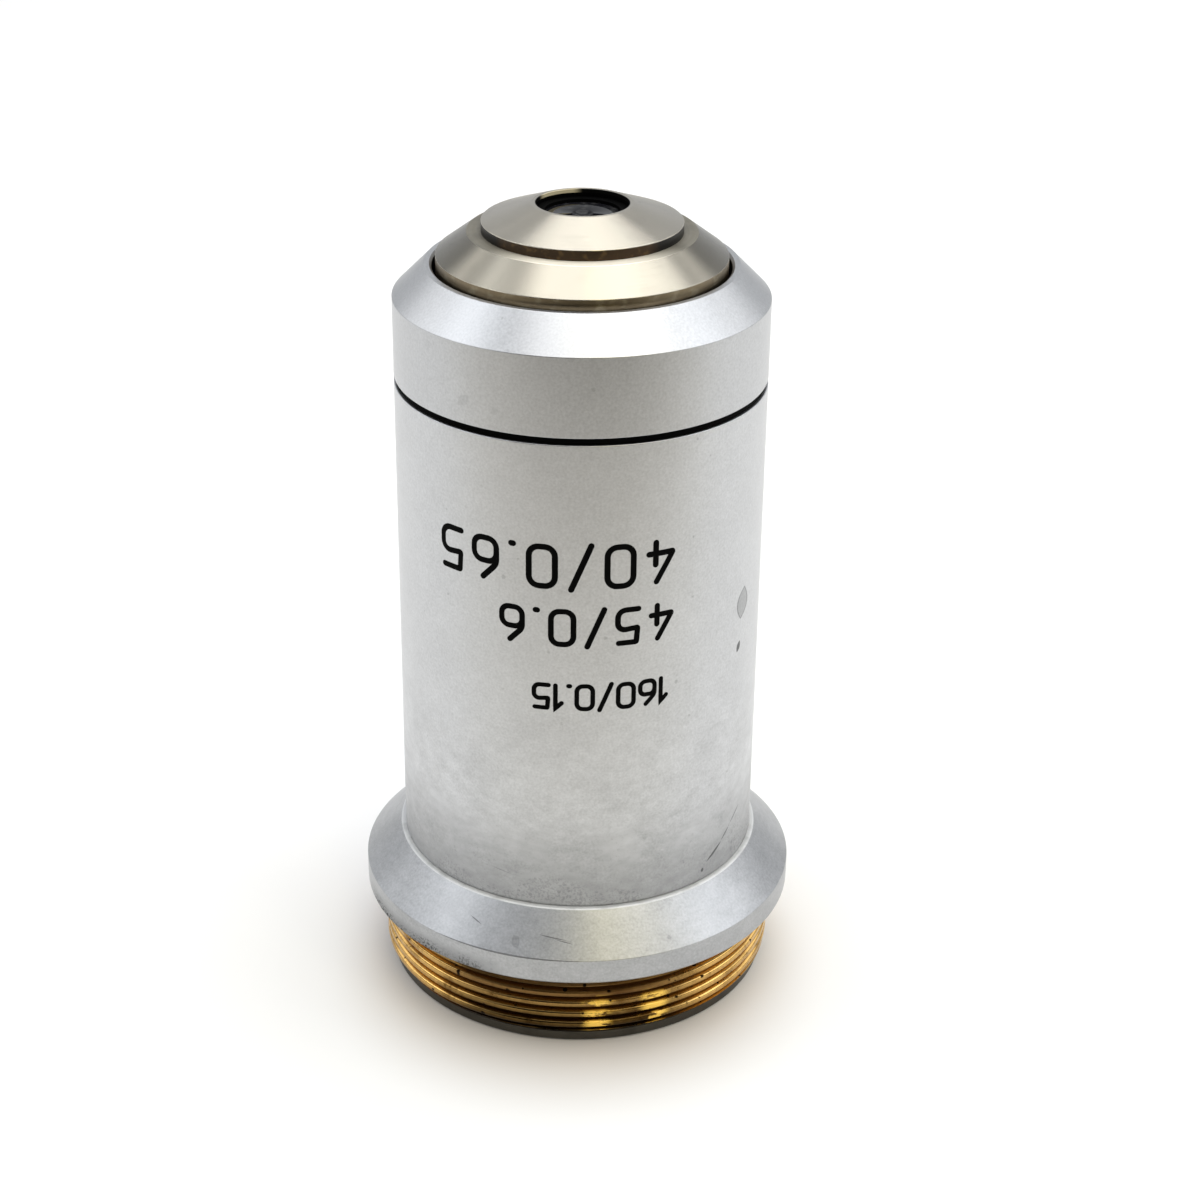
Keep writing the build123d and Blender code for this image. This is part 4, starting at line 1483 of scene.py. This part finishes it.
@dataclass
class Nose(SubAssembly):
    """Polished nose that slides in the cap: shell, front cell and front lens."""

    skirt_bore_r: float = 7.12
    shell_r: float = 8.53
    shell_foot_z: float = 41.5
    shell_rim_z: float = 47.0
    ledge_w: float = 0.83
    seat_z: float = 48.35
    inside_z: float = 45.3
    stem_r: float = 4.58
    slip: float = 0.02
    cell_r: float = 5.87
    cell_rim_z: float = 48.97
    tip_z: float = 50.0
    aperture_r: float = 2.71
    land: float = 0.25
    rubbed_z: float = 49.78
    window_z: float = 49.55
    window_r: float = 2.2
    lens_z: float = 49.35
    lens_r: float = 2.3
    lens_edge: float = 0.9
    dome_r: float = 3.2
    pupil_r: float = 0.65
    pupil_ball_r: float = 1.1
    stem_foot_z: float = 45.45
    stem_bore_r: float = 3.4

    NICKEL, BLACK, BAND, MATT = range(4)
    GLASS, HOLLOW = range(2)
    DOME_STEPS, HOLLOW_STEPS, LENS_COLUMNS = 12, 8, 128

    def dome_depth(self) -> float:
        """Height of the lens's dome."""
        return self.dome_r - math.sqrt(self.dome_r**2 - self.lens_r**2)

    def build_shell(self) -> None:
        """Make the skirt with the lower cone and the ledge."""
        finishes = self.finishes
        socket_r = self.stem_r + self.slip
        shell = Turning("nose_shell_turned")
        shell.spin(
            [
                *run(self.NICKEL, (self.skirt_bore_r, self.shell_foot_z)),
                *run(self.BAND, (self.shell_r, self.shell_foot_z, 0.05)),
                *run(self.NICKEL, (self.shell_r, self.shell_rim_z, 0.05)),
                *run(self.MATT, (self.cell_r + self.ledge_w, self.seat_z, 0.1)),
                *run(self.BLACK, (self.cell_r, self.seat_z), (socket_r, self.seat_z)),
                *run(self.BLACK, (socket_r, self.inside_z), (self.skirt_bore_r, self.inside_z)),
            ]
        )
        materials = [finishes.shell_nickel, finishes.black, finishes.dull_nickel, finishes.matt_nickel]
        shell.finish(materials, Body.NOSE, Slot.NICKEL, "nose_shell")

    def build_cell(self) -> None:
        """Make the upper cone with its black aperture, abraded in one place."""
        finishes = self.finishes
        lens_foot_z = self.lens_z - self.lens_edge - self.dome_depth()
        lens_bore_r = self.lens_r + self.slip
        cell = Turning("front_cell_turned")
        cell.spin(
            [
                *run(self.BLACK, (self.stem_bore_r, self.stem_foot_z)),
                *run(self.NICKEL, (self.stem_r, self.stem_foot_z), (self.stem_r, self.seat_z)),
                *run(self.BAND, (self.cell_r, self.seat_z, 0.03)),
                *run(self.NICKEL, (self.cell_r, self.cell_rim_z, 0.05)),
                *run(self.NICKEL, (self.aperture_r + self.land, self.tip_z, 0.04)),
                *run(self.MATT, (self.aperture_r, self.tip_z, 0.03)),
                *run(self.BLACK, (self.aperture_r, self.rubbed_z), (self.aperture_r, self.window_z)),
                *run(self.BLACK, (self.window_r, self.window_z, 0.02), (self.window_r, self.lens_z)),
                *run(self.BLACK, (lens_bore_r, self.lens_z), (lens_bore_r, lens_foot_z)),
                *run(self.BLACK, (self.stem_bore_r, lens_foot_z)),
            ]
        )
        materials = [finishes.nickel, finishes.groove, finishes.bronze, finishes.aperture]
        cell.finish(materials, Body.NOSE, Slot.NICKEL, "front_cell")

    def build_lens(self) -> None:
        """Make the front lens: a dome below, a flat front and a small hollow in it."""
        finishes = self.finishes
        dome_z = self.lens_z - self.lens_edge
        dome = []
        for step in range(self.DOME_STEPS + 1):
            r = self.lens_r * step / self.DOME_STEPS
            depth = math.sqrt(self.dome_r**2 - r**2) - (self.dome_r - self.dome_depth())
            dome.append(Corner(r, dome_z - depth, finish=self.GLASS))
        hollow = []
        rim_depth = math.sqrt(self.pupil_ball_r**2 - self.pupil_r**2)
        for step in range(self.HOLLOW_STEPS + 1):
            r = self.pupil_r * (1 - step / self.HOLLOW_STEPS)
            depth = math.sqrt(self.pupil_ball_r**2 - r**2) - rim_depth
            hollow.append(Corner(r, self.lens_z - depth, finish=self.HOLLOW))
        lens = Turning("front_lens_ground", self.LENS_COLUMNS)
        lens.spin([*dome, Corner(self.lens_r, self.lens_z), *hollow], closed=False)
        lens.finish([finishes.front_glass, finishes.pupil_glass], Body.NOSE, Slot.FRONT_GLASS, "front_lens")

    def build(self) -> None:
        """Make the pieces of the nose."""
        self.build_shell()
        self.build_cell()
        self.build_lens()


@dataclass
class ReturnSpring(SubAssembly):
    """Coil of rectangular wire round the barrel's tail, which shortens as the nose is pushed in."""

    wire: float = 0.9
    wire_height: float = 0.8
    turns: float = 3.5
    mean_r: float = 7.95
    travel: float = 2.0
    start_angle: float = 90.0
    steps: int = 252

    def sections(self, foot: float, top: float) -> list[list[Vector]]:
        """Corners of the wire along the coil, with both ends ground flat.

        Args:
            foot: Height of the seat in the mount.
            top: Height of the barrel's shoulder.

        Returns:
            Four corners for each place along the wire.
        """
        inner, outer = self.mean_r - self.wire / 2, self.mean_r + self.wire / 2
        rows = []
        for i in range(self.steps + 1):
            share = i / self.steps
            angle = self.start_angle + 360 * self.turns * share
            middle = foot + (top - foot) * share
            low = max(middle - self.wire_height / 2, foot)
            high = min(middle + self.wire_height / 2, top)
            corners = ((inner, low), (outer, low), (outer, high), (inner, high))
            rows.append([place(r, angle, z) for r, z in corners])
        return rows

    def build(self) -> None:
        """Wind the spring."""
        finishes = self.finishes
        low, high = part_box("return_spring")
        foot, top = low[2] / MM, high[2] / MM
        bm = bmesh.new()
        rows = [[bm.verts.new(corner) for corner in row] for row in self.sections(foot, top)]
        for near, far in zip(rows, rows[1:]):
            for j in range(4):
                k = (j + 1) % 4
                bm.faces.new((near[k], near[j], far[j], far[k]))
        bm.faces.new(rows[0])
        bm.faces.new(rows[-1][::-1])
        bmesh.ops.recalc_face_normals(bm, faces=bm.faces)
        coil = hand_over("return_coil", bm, [finishes.spring], Body.FIXED, Slot.SPRING, "return_spring")
        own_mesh(coil)


class InnerWorks(SubAssembly):
    """CAD pieces inside the objective, which keep their shape and get a finish."""

    def build(self) -> None:
        """Give every shown CAD node the finish of its slot."""
        finishes = self.finishes
        by_slot = {
            Slot.BRASS: finishes.brass,
            Slot.CHROME: finishes.cap,
            Slot.NICKEL: finishes.nickel,
            Slot.BLACK: finishes.black,
            Slot.BLACK_BRASS: finishes.black_brass,
            Slot.SPRING: finishes.spring,
            Slot.SCREW: finishes.screw,
            Slot.FRONT_GLASS: finishes.front_glass,
            Slot.LENS_GLASS: finishes.lens_glass,
        }
        slots = {row["node"]: row["material_slot"] for row in frame["record"]["subparts"]}
        for name, node in sorted(frame["nodes"].items()):
            if node.hide_render:
                continue
            node.data.materials.clear()
            node.data.materials.append(by_slot[Slot(slots[name])])
            log.info("%s: CAD node in %s", name, slots[name])


@dataclass(frozen=True)
class Softbox:
    """A soft rectangular lamp that faces the objective."""

    name: str
    position: tuple[float, float, float]
    width: float
    height: float
    radiance: float
    colour: tuple[float, float, float] = (1.0, 1.0, 1.0)
    straight_down: bool = False

    SLEEVE_MIDDLE = (0, 0, 25)

    def build(self) -> None:
        """Make the lamp, which faces the middle of the sleeve unless it looks straight down."""
        lamp = bpy.data.lights.new(self.name, "AREA")
        lamp.shape = "RECTANGLE"
        lamp.size = self.width * MM
        lamp.size_y = self.height * MM
        lamp.energy = self.radiance * math.pi * lamp.size * lamp.size_y
        lamp.color = self.colour
        holder = bpy.data.objects.new(self.name, lamp)
        holder.location = Vector(self.position) * MM
        if not self.straight_down:
            look = Vector(self.SLEEVE_MIDDLE) * MM - holder.location
            holder.rotation_euler = look.to_track_quat("-Z", "Y").to_euler()
        holder.visible_camera = False
        bpy.context.scene.collection.objects.link(holder)


@dataclass
class Studio:
    """Camera, floor, lamps and surroundings."""

    camera_place: tuple[float, float, float] = (1.277, -132.95, 89.4)
    down: float = 25.992
    roll: float = 0.699
    focal_px: float = 2380.5
    sensor: float = 36.0
    floor_half: float = 3000.0
    table_from: float = 20.0
    wall_at: float = 800.0
    wall_half: float = 800.0
    wall_left_z: float = 1300.0
    wall_right_z: float = 700.0
    table_z: float = 0.3

    CLIP = (1 * MM, 20.0)
    SKY, SKY_STRENGTH = (0.945, 0.97, 1.0, 1.0), 0.64
    # painted shadow: warm, darker paper round the objective's foot, set a little towards the front
    PAPER, PAPER_UNDER = (0.79, 0.785, 0.78, 1.0), (0.57, 0.52, 0.465, 1.0)
    UNDER_SHIFT, UNDER_REACH = (0.0, 5.0, 0.0), (6.0, 16.5)  # place and edge of the shade under the objective
    PAPER_GLOW, PAPER_ROUGHNESS = 0.05, 0.9
    TABLE_NEAR, TABLE_FAR, ROOM = (0.8, 0.79, 0.765, 1.0), (0.64, 0.612, 0.566, 1.0), (0.03, 0.028, 0.026, 1.0)
    TABLE_FADES, ROOM_STARTS, ROOM_SLANT = (20.0, 80.0), (110.0, 170.0), 0.2

    def build_camera(self) -> None:
        """Make the camera at the photograph's viewing angle."""
        data = bpy.data.cameras.new("camera")
        data.sensor_width = self.sensor
        data.lens = self.focal_px / PHOTO_SIDE * self.sensor
        data.clip_start, data.clip_end = self.CLIP
        camera = bpy.data.objects.new("camera", data)
        e, roll = math.radians(self.down), math.radians(self.roll)
        level_right = Vector((1, 0, 0))
        level_up = Vector((0, math.sin(e), math.cos(e)))
        right = math.cos(roll) * level_right + math.sin(roll) * level_up
        up = -math.sin(roll) * level_right + math.cos(roll) * level_up
        back = right.cross(up)
        turn = Matrix((right, up, back)).transposed().to_4x4()
        camera.matrix_world = Matrix.Translation(Vector(self.camera_place) * MM) @ turn
        bpy.context.scene.collection.objects.link(camera)
        bpy.context.scene.camera = camera

    @staticmethod
    def seen(graph: Graph) -> Socket:
        """Pick out rays that show a surface itself: to the camera, off gloss and through glass.

        Args:
            graph: The material's graph.

        Returns:
            Socket that is 1 for such rays.
        """
        path = graph.add("ShaderNodeLightPath")
        shown = graph.most(path.outputs["Is Camera Ray"], path.outputs["Is Glossy Ray"])
        return graph.most(shown, path.outputs["Is Transmission Ray"])

    def build_world(self) -> None:
        """Pale surroundings."""
        world = bpy.data.worlds.new("surroundings")
        world.use_nodes = True
        graph = Graph(world.node_tree)
        background = world.node_tree.nodes["Background"]
        graph.feed(background.inputs["Color"], self.SKY)
        graph.feed(background.inputs["Strength"], self.SKY_STRENGTH)
        bpy.context.scene.world = world

    @staticmethod
    def card(name: str, corners: list[tuple], material: bpy.types.Material) -> bpy.types.Object:
        """Make a flat card of the stage.

        Args:
            name: Name of the card.
            corners: Its corners in millimetres.
            material: Its material.

        Returns:
            The card.
        """
        mesh = bpy.data.meshes.new(name)
        mesh.from_pydata([Vector(c) * MM for c in corners], [], [(0, 1, 2, 3)])
        mesh.materials.append(material)
        card = bpy.data.objects.new(name, mesh)
        bpy.context.scene.collection.objects.link(card)
        return card

    def build_floor(self) -> None:
        """White paper that shows white and keeps the objective's shadow, with a warm painted shadow round its foot."""
        surface = Surface("white_paper")
        graph = surface.graph
        moved = graph.vector_math("ADD", graph.millimetres(), self.UNDER_SHIFT).outputs["Vector"]
        away = graph.remap(graph.vector_math("LENGTH", moved).outputs["Value"], *self.UNDER_REACH)
        paper = graph.blend(away, self.PAPER_UNDER, self.PAPER)
        surface.set(Base_Color=paper, Roughness=self.PAPER_ROUGHNESS, Specular_IOR_Level=0.0)
        surface.set(Emission_Color=(1.0, 1.0, 1.0, 1.0))
        surface.set(Emission_Strength=graph.times(self.seen(graph), self.PAPER_GLOW))
        h = self.floor_half
        self.card("floor", [(-h, -h, 0), (h, -h, 0), (h, h, 0), (-h, h, 0)], surface.material)

    def dark_room(self) -> bpy.types.Material:
        """Pale paper near the objective that darkens towards the camera: painted shade of the unlit room in front, seen
        only in reflections.

        Returns:
            The material.
        """
        surface = Surface("dark_room")
        graph = surface.graph
        place = graph.add("ShaderNodeSeparateXYZ", {0: graph.millimetres()})
        near_side = graph.times(place.outputs["Y"], -1.0)
        ahead = graph.plus(near_side, graph.times(place.outputs["X"], self.ROOM_SLANT))
        shade = graph.blend(graph.remap(near_side, *self.TABLE_FADES), self.TABLE_NEAR, self.TABLE_FAR)
        shade = graph.blend(graph.remap(ahead, *self.ROOM_STARTS), shade, self.ROOM)
        surface.set(Base_Color=shade, Roughness=self.PAPER_ROUGHNESS, Specular_IOR_Level=0.0)
        return surface.material

    def build_dark_front(self) -> None:
        """Dark room behind the camera, which only reflections show: sheets painted with the shade of the unlit room."""
        near, far, half = -self.table_from, -self.wall_at, self.wall_half
        low, left, right = self.table_z, self.wall_left_z, self.wall_right_z
        cards = {
            "dark_table": [(-half, far, low), (half, far, low), (half, near, low), (-half, near, low)],
            "dark_wall": [(-half, far, low), (half, far, low), (half, far, right), (-half, far, left)],
        }
        room = self.dark_room()
        for name, corners in cards.items():
            card = self.card(name, corners, room)
            card.visible_camera = False
            card.visible_diffuse = False
            card.visible_shadow = False

    def build_lamps(self) -> None:
        """Softboxes overhead, at both sides and behind, and warm windows in front on the right."""
        lamps = [
            Softbox("overhead_softbox", (60.0, 62.0, 450.0), 460.0, 510.0, 2.1, straight_down=True),
            Softbox("left_softbox", (-440.0, 0.0, 430.0), 320.0, 220.0, 2.0, (0.95, 0.975, 1.0)),
            Softbox("right_softbox", (500.0, -20.0, 420.0), 360.0, 260.0, 1.9, (0.95, 0.975, 1.0)),
            Softbox("window_near", (195.0, -567.0, 500.0), 165.0, 1000.0, 1.45, (1.0, 0.86, 0.36)),
            Softbox("window_side", (442.0, -405.0, 500.0), 165.0, 1000.0, 1.12, (1.0, 0.91, 0.6)),
            Softbox("left_back_softbox", (-458.0, 265.0, 310.0), 280.0, 200.0, 0.95),
            Softbox("right_back_softbox", (458.0, 265.0, 310.0), 280.0, 200.0, 0.95),
        ]
        for lamp in lamps:
            lamp.build()

    def build(self) -> None:
        """Set the stage."""
        bpy.context.scene.view_settings.view_transform = "Standard"
        self.build_camera()
        self.build_world()
        self.build_floor()
        self.build_dark_front()
        self.build_lamps()


def main() -> None:
    """Build the objective and its stage."""
    logging.basicConfig(level=logging.INFO, format="%(name)s %(message)s")
    finishes = Finishes(Effects())
    for assembly in (ThreadMount, OuterSleeve, FrontCap, Nose, ReturnSpring, InnerWorks):
        assembly(finishes).build()
    Studio().build()


if __name__ == "__main__":
    main()
